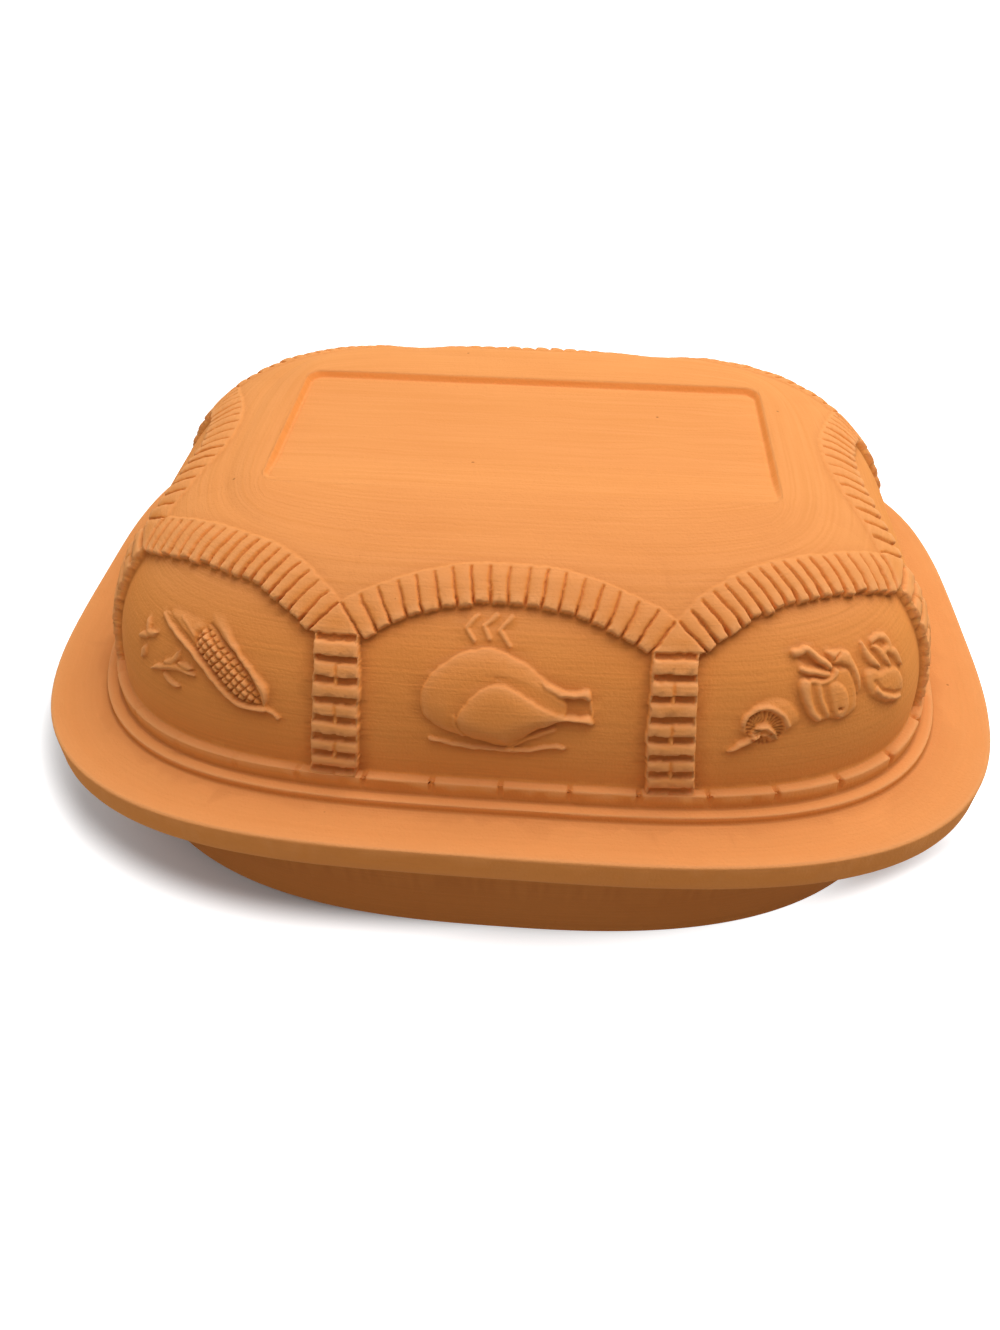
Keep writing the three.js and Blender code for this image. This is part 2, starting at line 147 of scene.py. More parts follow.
SLOT_FLOOR = 0.4
SLOT_RIM = 0.8  # narrow rim at the ends of an open joint
COURSE_LIFT = 0.15  # most that a course stands up over the others
COURSE_LEAN = 0.3  # how much prouder a course is at its foot
COURSE_LOWER_ROUND = 0.5
COURSE_UPPER_ROUND = 1.6
SPLIT_DEPTH = 0.8  # joint between the two bricks of a course
SPLIT_HALF = 0.2
BRIDGE = 0.75  # how much of an open joint is filled in its middle
BRIDGE_HALF = 0.3
PILLAR_BLEND = 0.6

# Unevenness of moulding by hand: lumps round the lid and the height of one, and how far they shift bricks
BROAD_LUMPS = (150, 5)
FINE_LUMPS = (500, 1.6)
SHIFT = 0.3
FINE_SHIFT = 0.2
DRAWING_LUMP = 2.5

# Dish
DISH_SQUARENESS = 2.6
DISH_WALL = 10
DISH_FLOOR = 10
DISH_LEAN = math.radians(9)
FOOT_ROUND = 16
FLOOR_ROUND = 12
RIM_ROUND = 2
RIB_COUNT = 5
RIB_PITCH = 30
RIB_WIDTH = 9
RIB_HEIGHT = 3
RIB_END_GAP = 28

# Lip of the lid, inside the mouth of the dish
LIP_DEPTH = 6
LIP_THICKNESS = 7
LIP_CLEARANCE = 2
LIP_ROUND = 1.5

# Fineness of the meshes
LINES = 1792  # upright lines round the lid
WALL_ROWS = 190
PROFILE_STEP = 0.6
DISH_LINES = 512
LUMP_ROWS = 256  # a pattern of lumps repeats after these
LID_TRIANGLES = 190000
DISH_TRIANGLES = 60000

# How far the lines of the sponge run on over the dish's floor and over the lid's ceiling
FLOOR_RUN = 120
CEILING_RUN = 100

# Edge tint and painted shade: 1 is paler on raised edges, -1 is painted shade in hollows, joints and
# under the flange
BEND_TINT_AND_SHADE = 1.2  # of an edge with a radius of 1 mm
TINT_AND_SHADE_REACH = 6  # points each way, whose mean a point is held against
TINT_AND_SHADE_HEIGHT = 0.9
JOINT_SHADE = 0.25  # painted shade in a joint, for each millimetre of its depth
UNDER_FLANGE_SHADE_FADE = 6  # painted shade on the dish's outside, which stands under the flange, less near its rim


# Small shapes

def ease(t):
    """Smooth step from 0 to 1."""
    t = np.clip(t, 0, 1)
    return t * t * (3 - 2 * t)


def bead(distance, round_off):
    """Rise of a rounded edge, 0 at the edge and 1 from the round's width inwards."""
    t = np.clip(distance / round_off, 0, 1)
    return np.sqrt(1 - (1 - t) ** 2)


def lengths_along(points):
    """Distance of each point of a line from its start."""
    steps = np.linalg.norm(np.diff(points, axis=0), axis=1)
    return np.concatenate([[0], np.cumsum(steps)])


def rounded_profile(corners, step):
    """Points about a step apart along a line whose corners (inset, height, radius) are rounded."""
    spots = np.array(corners, float)
    points = [spots[:1, :2]]
    share = np.linspace(0, 1, 9)[:, None]
    for before, here, after in zip(spots, spots[1:], spots[2:]):
        corner = here[:2]
        back = before[:2] - corner
        ahead = after[:2] - corner
        back /= np.linalg.norm(back)
        ahead /= np.linalg.norm(ahead)
        reach = here[2] / math.tan(math.acos(back @ ahead) / 2)
        start = corner + back * reach
        end = corner + ahead * reach
        points.append((1 - share) ** 2 * start + 2 * share * (1 - share) * corner + share ** 2 * end)
    points.append(spots[-1:, :2])
    line = np.concatenate(points)
    distance = lengths_along(line)
    even = np.linspace(0, distance[-1], 1 + round(distance[-1] / step))
    return np.stack([np.interp(even, distance, line[:, axis]) for axis in (0, 1)], 1)


def clay_lumps(x, y, round_trip, seed):
    """Uneven values from -1 to 1, x and y counted in lumps; x comes back after a round trip."""
    lattice = np.random.default_rng(seed).uniform(-1, 1, (round_trip, LUMP_ROWS))
    column = np.floor(x).astype(int)
    row = np.floor(y).astype(int)
    u = ease(x - column)
    v = ease(y - row)
    a, b = column % round_trip, (column + 1) % round_trip
    c, d = row % LUMP_ROWS, (row + 1) % LUMP_ROWS
    near = lattice[a, c] * (1 - u) + lattice[b, c] * u
    far = lattice[a, d] * (1 - u) + lattice[b, d] * u
    return near * (1 - v) + far * v


# Plan of the lid

def outline(angle, half_length, half_width, squareness):
    """Points of a boxy oval at polar angles, with their outward normals."""
    c, s = np.cos(angle), np.sin(angle)
    size = np.abs(c / half_length) ** squareness + np.abs(s / half_width) ** squareness
    point = np.stack([c, s], 1) * size[:, None] ** (-1 / squareness)
    pull = np.abs(point / (half_length, half_width)) ** (squareness - 1) / (half_length, half_width)
    normal = np.sign(point) * pull
    return point, normal / np.linalg.norm(normal, axis=1, keepdims=True)


def outline_facing(normal, half_length, half_width, squareness):
    """Points of a boxy oval that have given outward normals."""
    half = np.array((half_length, half_width))
    share = (half * np.abs(normal)) ** (1 / (squareness - 1))
    scale = np.sum(share ** squareness, axis=1, keepdims=True) ** (-1 / squareness)
    return np.sign(normal) * half * share * scale


def lid_lines(angle):
    """Upright lines on the lid: where they meet the flange's edge and the shoulder, and their facing."""
    edge, normal = outline(angle, HALF_LENGTH, HALF_WIDTH, FLANGE_SQUARENESS)
    half_length = HALF_LENGTH - SHOULDER_END_INSET
    half_width = HALF_WIDTH - SHOULDER_SIDE_INSET
    return edge, outline_facing(normal, half_length, half_width, SHOULDER_SQUARENESS), normal


# The wall rises in a part of a quarter ellipse from the plinth to the shoulder.
wall_turn = np.linspace(0, SHOULDER_TURN, 2001)
WALL_INSET = PLINTH_INSET + 2 * PLINTH_LEDGE
WALL_FOOT = PLINTH_HEIGHT + BAND_HEIGHT
wall_run = (SHOULDER_SIDE_INSET - WALL_INSET) / (1 - math.cos(SHOULDER_TURN))
wall_rise = (LID_RISE - CROWN_FALL - WALL_FOOT) / math.sin(SHOULDER_TURN)
wall_inset = WALL_INSET + wall_run * (1 - np.cos(wall_turn))
wall_height = WALL_FOOT + wall_rise * np.sin(wall_turn)
wall_up = lengths_along(np.stack([wall_inset, wall_height], 1))
WALL = wall_up[-1]

# The arcade is measured along the line where its arches meet, from the +X end round to the left.
fine_turn = np.linspace(0, 2 * math.pi, 14401)
fine_edge, fine_shoulder, _ = lid_lines(fine_turn)
valley_share = np.interp(ARCH_VALLEY, wall_up, wall_inset) / SHOULDER_SIDE_INSET
fine_valley = fine_edge + (fine_shoulder - fine_edge) * valley_share
fine_along = lengths_along(fine_valley)
ARCADE = fine_along[-1]

QUARTER = len(fine_turn) // 4 + 1
end_pillar = np.interp(END_PILLAR_Y, fine_valley[:QUARTER, 1], fine_along[:QUARTER])
side_pillar = np.interp(-FRONT_PILLAR_X, -fine_valley[:QUARTER, 0], fine_along[:QUARTER])
first_half = [end_pillar, side_pillar, ARCADE / 2 - side_pillar, ARCADE / 2 - end_pillar]
pillars = first_half + [ARCADE / 2 + place for place in first_half] + [ARCADE + end_pillar]

LINE_STEP = ARCADE / LINES
along = end_pillar + LINE_STEP * np.arange(LINES)
line_turn = np.interp(along % ARCADE, fine_along, fine_turn)
flange_edge, shoulder_edge, facing = lid_lines(line_turn)


def plan_at(inset):
    """Plan of the lid at insets from the flange's edge: rows of points, one on each upright line."""
    share = np.asarray(inset)[:, None, None] / SHOULDER_SIDE_INSET
    return flange_edge + (shoulder_edge - flange_edge) * share


# Drawings moulded on the plain ground: places (across, up) from the middle of a bay's foot

def smooth_line(points, closed=False):
    """Smooth line through given places."""
    spots = np.array(points, float)
    if closed:
        spots = np.concatenate([spots[-1:], spots, spots[:2]])
    else:
        spots = np.concatenate([2 * spots[:1] - spots[1:2], spots, 2 * spots[-1:] - spots[-2:-1]])
    t = np.linspace(0, 1, 5, endpoint=False)[:, None]
    line = []
    for a, b, c, d in zip(spots, spots[1:], spots[2:], spots[3:]):
        bend = (2 * a - 5 * b + 4 * c - d) * t ** 2 + (3 * b - a - 3 * c + d) * t ** 3
        line.append((2 * b + (c - a) * t + bend) / 2)
    line.append(spots[-2:-1])
    return np.concatenate(line)


def nearest(line, x, y):
    """Distance from places to a line, and how far along the line its nearest point is, from 0 to 1."""
    distance = np.full(x.shape, np.inf)
    share = np.zeros(x.shape)
    marks = lengths_along(line)
    for (ax, ay), (bx, by), start, end in zip(line, line[1:], marks, marks[1:]):
        dx, dy = bx - ax, by - ay
        t = np.clip(((x - ax) * dx + (y - ay) * dy) / (dx * dx + dy * dy), 0, 1)
        d = np.hypot(x - ax - t * dx, y - ay - t * dy)
        nearer = d < distance
        distance = np.where(nearer, d, distance)
        share = np.where(nearer, (start + t * (end - start)) / marks[-1], share)
    return distance, share


def depth_inside(points, x, y):
    """How far places lie inside a smooth closed outline; outside is below 0."""
    line = smooth_line(points, closed=True)
    inside = np.zeros(x.shape, bool)
    for (ax, ay), (bx, by) in zip(line, line[1:]):
        crosses = (ay > y) != (by > y)
        if ay != by:
            inside ^= crosses & (x < ax + (y - ay) * (bx - ax) / (by - ay))
    distance, _ = nearest(line, x, y)
    return np.where(inside, distance, -distance)


def pad(points, height, round_off):
    """Raised shape with a softly swelling edge."""
    return lambda x, y: height * (1 - (1 - np.clip(depth_inside(points, x, y) / round_off, 0, 1)) ** 2)


def cord_line(points, half_width, height, smooth=True):
    """Raised line of even width."""
    def relief(x, y):
        distance, _ = nearest(smooth_line(points) if smooth else np.array(points, float), x, y)
        return height * np.clip(1 - (distance / half_width) ** 2, 0, 1) ** 0.75
    return relief


def blade(points, half_width, height):
    """Raised line that swells in the middle and thins out at its ends."""
    def relief(x, y):
        distance, share = nearest(smooth_line(points), x, y)
        half = half_width * np.sqrt(np.sin(math.pi * np.clip(share, 0.03, 0.97)))
        return height * np.clip(1 - (distance / half) ** 2, 0, 1) ** 0.75
    return relief


def layered(grounds, details):
    """Relief of a drawing: the highest of its grounds, with its details on top."""
    def relief(x, y):
        ground = np.zeros(x.shape)
        for shape in grounds:
            ground = np.maximum(ground, shape(x, y))
        return ground + sum(detail(x, y) for detail in details)
    return relief


def fading(shape, gone, whole):
    """A shape that sinks into the ground on the way from one height up the wall to another."""
    return lambda x, y: shape(x, y) * ease((gone - y) / (gone - whole))


BIRD_BODY = [
    (-29.5, 33.9), (-29, 38.7), (-27, 43.6), (-23, 47.8), (-17.7, 52), (-12.8, 54.2), (-7.9, 55.4),
    (-2.9, 55.2), (1.7, 53.6), (6.4, 51.2), (11, 48.2), (15.4, 45.1), (19.5, 42), (22.1, 38),
    (22.7, 33.4), (19.3, 29), (12.2, 25.2), (6.8, 21.3), (2.2, 17.9), (-3.9, 18.4), (-10, 20),
    (-15.7, 21.3), (-20.4, 22.8), (-25, 25.7), (-28.4, 29.3),
]
BIRD_DRUMSTICK = [
    (-16.4, 29.8), (-14.4, 33.9), (-11.3, 38), (-7.3, 41.5), (-3.3, 43), (0.9, 42.8), (5.1, 41),
    (9.3, 38.5), (14, 35.9), (18.6, 33.7), (22.9, 32.6), (22.9, 30), (18.9, 28.8), (13.9, 27),
    (9.9, 24.6), (5.7, 21.5), (2.2, 18.7), (-2.5, 19.7), (-8.2, 20.8), (-12.5, 21.9), (-14.8, 24.4),
    (-16.1, 27.2),
]
BIRD_FAR_LEG = [
    (12, 46), (16.8, 43.9), (20, 42.3), (23.2, 41.7), (26.8, 41.8), (29.5, 42.7), (30.8, 40.8),
    (30.6, 37.9), (27.1, 38.6), (20.1, 38.4), (14, 41),
]
BIRD_NEAR_LEG = [
    (13, 35.6), (18.6, 33.8), (22.7, 32.8), (26.9, 32.3), (30.1, 33.2), (31.9, 31.3), (31.9, 28.6),
    (27.5, 29.4), (22.9, 29.6), (18.9, 28.7), (13, 28.6),
]
BIRD_PLATTER = [
    (-26, 19.2), (-22.3, 18.4), (-15.7, 17.2), (-8.6, 16.4), (-1.6, 16.3), (5.5, 16.3),
    (10.1, 16.5), (14.7, 18), (19, 18.8), (22.4, 18.2),
]
STEAM = [
    [(-10.3, 66.5), (-13.9, 62.1), (-11, 57.7)],
    [(-3.5, 67), (-7.6, 62.9), (-5.5, 58.5)],
    [(1.7, 66.7), (-2.3, 61.8), (1.6, 56.5)],
]
BIRD_CREASE = [(-3, 45), (1, 44.6), (5.6, 43), (9.9, 40.5), (14.6, 37.8), (19, 35.6), (24, 34.3)]
bird_flesh = layered([], [
    pad(BIRD_BODY, 1, 1.1),
    pad(BIRD_BODY, 1.8, 10),
    fading(pad(BIRD_DRUMSTICK, 1, 1.1), 17, 30),
    pad(BIRD_DRUMSTICK, 1.2, 7),
    blade(BIRD_CREASE, 2.4, -0.35),
])
roast_bird = layered(
    [
        bird_flesh,
        pad(BIRD_FAR_LEG, 2.4, 1.9),
        pad(BIRD_NEAR_LEG, 3, 2),
        cord_line([(30.4, 38.6), (31.2, 35), (31.6, 32)], 0.6, 0.7),
        cord_line(BIRD_PLATTER, 1.1, 1.4),
    ] + [cord_line(wisp, 1.1, 0.9, smooth=False) for wisp in STEAM],
    [
        cord_line([(-17.4, 30), (-16.6, 25.9), (-14.2, 21.4)], 0.8, 0.5),
        cord_line([(2.7, 17.4), (7.7, 21), (12.2, 23.3), (18.1, 26)], 1.4, 1),
    ],
)

COB = [
    (3, 45.4), (4.8, 50), (9.3, 48.8), (15.5, 45.2), (21.4, 41.3), (26.4, 37.5), (30.1, 33.4),
    (33.2, 29.5), (35, 26.7), (32.8, 25.5), (27.3, 25.9), (22.1, 27.7), (17.4, 31.3), (12.4, 35.2),
    (7.7, 38.5), (3.8, 41.8),
]
COB_TOP = (2, 47.5)
COB_TIP = (33, 26.5)
KERNEL_LENGTH = 3
KERNEL_WIDTH = 2.4
KERNEL_DEPTH = 1.5
KERNEL_ROUND = 0.8
HUSK_EDGE = [
    (-15.1, 48), (-8.6, 45.4), (-2.3, 42.7), (3.3, 40), (8.8, 36.4), (14, 32.6), (19.4, 28.4),
    (24.9, 25), (30.4, 24), (35.8, 24.4),
]
HUSK_BACK = [
    (-14.6, 48.8), (-11.6, 51.6), (-5, 52.8), (1.3, 52), (4.4, 50), (3.5, 47), (3.8, 41.8),
    (-1.4, 43.4), (-8.2, 46.2),
]
HUSK_LEAF = [
    (5.8, 57.2), (10.3, 55.9), (15.1, 51.3), (20.3, 46.4), (26.4, 41.4), (31.3, 37.8), (34.8, 35.2),
    (37, 32.1), (37.2, 28.2), (35.6, 24.6), (33.6, 29), (30.6, 33.6), (26.5, 37.9), (21, 42.6),
    (14.8, 47.1), (8, 51.6), (4.5, 54.9),
]
COB_STALK = [
    (35, 26.6), (37.8, 25.3), (40.2, 23.8), (42.8, 21.6), (41.5, 20), (38.6, 22.3), (35.8, 24),
]
SPRIGS = [
    [(-22.6, 42.6), (-20.4, 38.2), (-15.4, 40)],
    [(-26.1, 34.1), (-19.9, 37)],
    [(-20.4, 32.1), (-22.1, 26.7)],
    [(-15.2, 25.4), (-4.4, 30.8), (6.2, 31)],
    [(-8.8, 31), (-4.7, 33.1), (-2.8, 37.7)],
    [(-1.8, 33.4), (4.7, 33.1)],
    [(-8.1, 26.4), (-3.7, 24.1), (-0.1, 23.9)],
]


def kernels(x, y):
    """Rows of grains on the cob, as what the joints between them take away."""
    axis = np.subtract(COB_TIP, COB_TOP) / math.dist(COB_TIP, COB_TOP)
    down = (x - COB_TOP[0]) * axis[0] + (y - COB_TOP[1]) * axis[1]
    across = (x - COB_TOP[0]) * -axis[1] + (y - COB_TOP[1]) * axis[0]
    row = np.abs((down / KERNEL_LENGTH) % 1 - 0.5) * KERNEL_LENGTH
    rank = np.abs((across / KERNEL_WIDTH + 0.5) % 1 - 0.5) * KERNEL_WIDTH
    edge = np.minimum(KERNEL_LENGTH / 2 - row, KERNEL_WIDTH / 2 - rank)
    on_cob = ease(depth_inside(COB, x, y) / KERNEL_ROUND)
    return -KERNEL_DEPTH * on_cob * (1 - bead(edge - 0.2, KERNEL_ROUND))


LEAF_CREASE = [(6, 52), (10.8, 49.2), (16.3, 45.8), (22.1, 41.2), (26.8, 37.4), (30.8, 33)]
maize = layered(
    [
        pad(COB, 2.3, 3.5),
        fading(pad(HUSK_LEAF, 2.5, 3), 58, 44),
        fading(pad(HUSK_BACK, 1, 2.5), 55, 47),
        fading(cord_line(HUSK_EDGE, 1.3, 2.2), 52, 42),
        pad(COB_STALK, 1.5, 1.2),
    ] + [blade(sprig, 1.7, 1.3) for sprig in SPRIGS],
    [
        kernels,
        cord_line([(-13.5, 50), (-6.7, 47.3), (-0.5, 44.7), (4.6, 42)], 0.5, -0.5),
        cord_line([(-6.2, 50.8), (-2.6, 48.8), (2.1, 46.2)], 0.6, 0.5),
        cord_line(LEAF_CREASE, 0.5, -0.7),
    ],
)

MUSHROOM_CAP = [
    (-39.2, 27.5), (-37.5, 32.1), (-34.2, 35.7), (-30, 37.9), (-25.8, 39.3), (-21.6, 39),
    (-18.1, 36.7), (-16.2, 33.1), (-16.4, 29.5), (-18.9, 26.7), (-22.4, 24.9), (-25.4, 22.1),
    (-29.4, 20.8), (-33.3, 21.8), (-36.1, 24.6),
]
MUSHROOM_RIM = [
    (-37.2, 30), (-35.6, 33.1), (-32.3, 35.4), (-28.4, 36.2), (-25, 35.2), (-22.4, 32.3),
    (-21.1, 28.5),
]
MUSHROOM_MIDDLE = (-29.6, 28)
MUSHROOM_STEM = [
    (-31.5, 27.6), (-35.5, 25.4), (-39.5, 22.9), (-44.2, 18.7), (-41.2, 19), (-37, 21.2),
    (-33, 23.4),
]
GILLS = 26
GILLS_INSIDE = 2
GILLS_OUTSIDE = 7.4
PEPPER = [
    (-15.3, 40.3), (-14.6, 43.9), (-12.5, 45.7), (-10.1, 45.2), (-7.2, 43.4), (-2.4, 43.6),
    (2.5, 46.4), (6, 44.9), (7, 40.3), (7.3, 34.6), (6.6, 30.5), (4.7, 28.3), (-0.5, 26.7),
    (-5.8, 28), (-10.1, 27.6), (-13.4, 30.6), (-14.6, 34.9),
]
PEPPER_LOBES = [
    [(-15, 41.1), (-14.1, 44.4), (-11.7, 45.4), (-9.8, 43.6), (-10.7, 39.5), (-10.5, 34.4),
     (-8.5, 29.5), (-10.5, 28.2), (-13.2, 30.8), (-14.4, 35.4)],
    [(-8.7, 42.4), (-6.3, 42), (-6.5, 37.2), (-5.2, 31.6), (-6.6, 28.9), (-8.3, 32.3), (-9.3, 37.7)],
    [(-4.6, 41), (-1.5, 42.4), (1.8, 40), (3.3, 35.4), (2.6, 30.8), (-0.4, 27.4), (-4, 29.4),
     (-5, 35.4)],
]
PEPPER_LEAF = [
    (-1.2, 52.9), (1.7, 53.3), (5.3, 52.5), (7.8, 50.8), (9.4, 47), (10.3, 42.1), (9.6, 37),
    (7.5, 34.9), (6.9, 39.8), (5.9, 44.7), (3.2, 47), (0.5, 48),
]
PEPPER_HOLLOW = [(-11.8, 52.8), (-8.2, 52.6), (-4.6, 49.6), (-3.2, 47.4), (-7, 48.3), (-10.5, 50)]
SMALL_PEPPER = [
    (11.1, 39.5), (12.7, 42.1), (16, 42), (19.7, 39.6), (25.1, 38.8), (29.9, 35.7), (32.4, 30),
    (31.3, 25.7), (28, 23.7), (21.6, 25.2), (15.3, 29.4), (11.7, 34.4),
]


def gills(x, y):
    """Sunk ring of gills round the mushroom's stem."""
    from_middle = np.hypot(x - MUSHROOM_MIDDLE[0], y - MUSHROOM_MIDDLE[1])
    angle = np.arctan2(y - MUSHROOM_MIDDLE[1], x - MUSHROOM_MIDDLE[0])
    within = ease(GILLS_OUTSIDE - from_middle) * ease(from_middle - GILLS_INSIDE)
    return within * (-1.7 + 1.2 * np.abs(np.sin(angle * GILLS / 2)))


garden = layered(
    [
        pad(MUSHROOM_CAP, 1.5, 5),
        pad(PEPPER, 1.1, 1.8),
        pad(PEPPER_LEAF, 1.7, 2.2),
        cord_line([(-12.3, 54.4), (-8, 55.2), (-5.8, 53.1), (-4.1, 50.8), (-1.5, 47.7)], 1.6, 2),
        cord_line([(-11.8, 48.5), (-8.5, 47), (-2.9, 44.9)], 1.4, 1.8),
        cord_line([(-9.5, 43.8), (-5.7, 42.6), (-1.6, 43.2), (0.6, 45.4)], 1.3, 1.8),
        pad(SMALL_PEPPER, 1.4, 2.6),
        blade([(14.2, 51.8), (15.1, 47.7), (17, 44.1), (19.5, 40.8)], 1.8, 1.5),
        cord_line([(19.4, 50.6), (22.7, 50.8), (26.1, 49), (27.4, 45.4), (24.1, 44.7)], 1.6, 1.3),
        blade([(18.8, 48.5), (21.4, 46.2), (23.4, 43.1), (25.2, 39)], 1.9, 1.3),
        blade([(24.9, 44.7), (29.4, 41.8), (31.9, 36.2)], 2, 1.4),
    ],
    [
        gills,
        pad(MUSHROOM_STEM, 2, 1.3),
        cord_line(MUSHROOM_RIM, 1.1, 1),
        cord_line([(-34.8, 25.9), (-32.4, 28.5), (-29.4, 29), (-27.2, 26.9), (-25.9, 23.1)], 1, 1.4),
        cord_line([(-34.1, 24.8), (-31.2, 25.9), (-28.3, 24.6), (-27.4, 22.3)], 0.8, 0.9),
        pad(PEPPER_HOLLOW, -0.7, 1),
        cord_line([(1.1, 49.3), (3.9, 51.1)], 0.6, -0.9),
        cord_line([(-1.2, 31.7), (-0.6, 31.5)], 0.8, -1.1),
        cord_line([(15.9, 36.7), (17.5, 33.4), (21.9, 30), (29.5, 26.4)], 1, -0.6),
        cord_line([(16, 33.6), (20.3, 28.7), (28.5, 24.6)], 1.2, 0.8),
    ] + [pad(lobe, 1, 1.8) for lobe in PEPPER_LOBES],
)

# Drawings of four bays, from the +X end round to the left
bay_drawings = [maize, roast_bird, garden, None]


# Arcade of brick arches on pillars

pillar_lifts = np.random.default_rng(22).uniform(-COURSE_LIFT, COURSE_LIFT, (len(pillars), 9))
pillar_lifts[-1] = pillar_lifts[0]


def arch_height(across, up, stretch, half, bricks, dice):
    """Height of one bay's arch off the wall, with the ground, the crown and half a keystone each side."""
    radius = (half ** 2 + ARCH_RISE ** 2) / (2 * ARCH_RISE)
    spread = math.asin(half / radius)
    rise = up - (ARCH_VALLEY + ARCH_RISE - radius)
    reach = np.hypot(across, rise)
    place = (np.arctan2(across, rise) / spread + 1) * bricks / 2
    brick = np.clip(np.floor(place), 0, bricks - 1).astype(int)
    lift = dice.uniform(*BRICK_LIFT, bricks)[brick]
    lean = dice.uniform(*BRICK_LEAN, bricks)[brick]
    short = dice.uniform(*BRICK_SHORT, bricks)[brick]
    gape = dice.uniform(*JOINT_GAPE, bricks)[brick]
    off_middle = 2 * (place - brick) - 1
    side = np.minimum(place - brick, brick + 1 - place) * (2 * spread / bricks) * reach * stretch

    from_rim = radius - reach
    from_end = ARCH_BRICK_LENGTH - from_rim - short
    half_joint = gape * JOINT / 2 + JOINT_END_OPENING * (1 - ease(from_end / JOINT_END))
    on_rim = ease((ARCH_RIM + RIM_BLEND / 2 - from_rim) / RIM_BLEND)
    open_joint = np.maximum(bead(side - half_joint, BRICK_ROUND), on_rim)
    joint_floor = JOINT_FLOOR + (FIELD - JOINT_FLOOR) * (1 - ease(from_end / JOINT_END))
    face = BRICK + lift + lean * off_middle - BRICK_BULGE * off_middle ** 2
    face = BRICK_RIM + (face - BRICK_RIM) * ease((from_rim + 1) / RIM_SLOPE)
    arch = joint_floor + (face - joint_floor) * open_joint
    arch = FIELD + (arch - FIELD) * bead(from_end, BRICK_END_ROUND)
    crown = CROWN * (1 - ease(-from_rim / CROWN_FADE))
    height = crown + (arch - crown) * ease((from_rim + CROWN_BLEND / 2) / CROWN_BLEND)

    from_axis = half - np.abs(across)
    below = ARCH_VALLEY - up
    to_arch = (below * math.tan(spread) - from_axis) * math.cos(spread)
    stone = bead(np.minimum(to_arch - JOINT / 2, KEYSTONE_HEIGHT - below), BRICK_ROUND)
    keystone = JOINT_FLOOR + (BRICK - JOINT_FLOOR) * stone
    return np.where((to_arch > 0) & (below > 0) & (below < KEYSTONE_HEIGHT), keystone, height)


def pillar_height(from_axis, up, pillar):
    """Height of a pillar off the wall: courses over open joints, every other course split in two."""
    half = PILLAR_WIDTH / 2
    down = np.maximum((TOP_JOINT - up) / COURSE, 0)  # in courses from the top
    course = np.floor(down).astype(int)
    split = course % 2 == 1
    brick = BRICK + pillar_lifts[pillar, course] + COURSE_LEAN * (down - course)
    strip = FIELD + (brick - FIELD) * bead(half - from_axis, BRICK_ROUND)
    strip -= SPLIT_DEPTH * split * (1 - ease((from_axis - SPLIT_HALF) / PILLAR_BLEND))

    joint = np.round(down)
    past = (joint - down) * COURSE  # above the joint's middle
    half_slot = (SLOT + SLOT_GROWTH * joint) / 2
    above = ease((past - half_slot) / COURSE_LOWER_ROUND)
    solid = np.where(past > 0, above, bead(-past - half_slot, COURSE_UPPER_ROUND))
    solid = np.maximum(solid, ease((from_axis - half + SLOT_RIM + PILLAR_BLEND / 2) / PILLAR_BLEND))
    bridged = (joint > 0) & (joint % 2 == 0)
    solid = np.maximum(solid, BRIDGE * bridged * (1 - ease((from_axis - BRIDGE_HALF) / PILLAR_BLEND)))
    return np.where(strip > SLOT_FLOOR, SLOT_FLOOR + (strip - SLOT_FLOOR) * solid, strip)


def drawings_height(up, steps):
    """Height of the drawings over the ground; the far side repeats the near one by a half turn."""
    half_round = LINES // 2
    height = np.zeros((len(up), half_round))
    for drawing, left, right in zip(bay_drawings, pillars, pillars[1:]):
        if drawing:
            bay = np.flatnonzero((along[:half_round] >= left) & (along[:half_round] < right))
            across = np.cumsum(steps[:, bay], axis=1)
            middle = np.argmin(np.abs(along[bay] - (left + right) / 2))
            across = across - across[:, middle:middle + 1]
            bay_up = up[:, bay]
            sideways, upwards = (
                SHIFT * clay_lumps(across / DRAWING_LUMP, bay_up / DRAWING_LUMP, 64, seed)
                for seed in (15, 16)
            )
            height[:, bay] = drawing(across + sideways, bay_up + upwards)
    return np.tile(height, 2)


def arcade_height(up, steps):
    """Height of the moulded arcade off the wall; rows go up the wall, columns are the upright lines."""
    def lumps(number, size, seed):
        return clay_lumps(along / ARCADE * number, up / size, number, seed)

    warped_up = up + (SHIFT * lumps(*BROAD_LUMPS, 12) + SHIFT * lumps(*FINE_LUMPS, 14))
    place = along + SHIFT * lumps(*BROAD_LUMPS, 11) + FINE_SHIFT * lumps(*FINE_LUMPS, 13)
    draw_in = PLUMB_MOST * np.maximum(0, 1 - ((up - PLUMB_AT) / (ARCH_VALLEY - PLUMB_AT)) ** 2)
    for number, pillar in enumerate(pillars):
        inward = 1 if number % 2 else -1
        place -= inward * draw_in * (1 - ease((np.abs(along - pillar) - PLUMB_NEAR) / PLUMB_FADE))
    place = pillars[0] + (place - pillars[0]) % ARCADE

    height = np.zeros(up.shape)
    dice = np.random.default_rng(21)
    for number, (left, right) in enumerate(zip(pillars, pillars[1:])):
        bay = (place >= left) & (place < right)
        half = (right - left) / 2
        across = place[bay] - (left + right) / 2
        bay_up = warped_up[bay]
        arch = arch_height(across, bay_up, steps[bay] / LINE_STEP, half, ARCH_BRICKS[number % 4], dice)
        pillar = pillar_height(half - np.abs(across), bay_up, np.where(across < 0, number, number + 1))
        on_pillar = bay_up < ARCH_VALLEY - KEYSTONE_HEIGHT
        height[bay] = np.where(on_pillar, np.maximum(arch, pillar), arch)
    return height + drawings_height(up, steps)


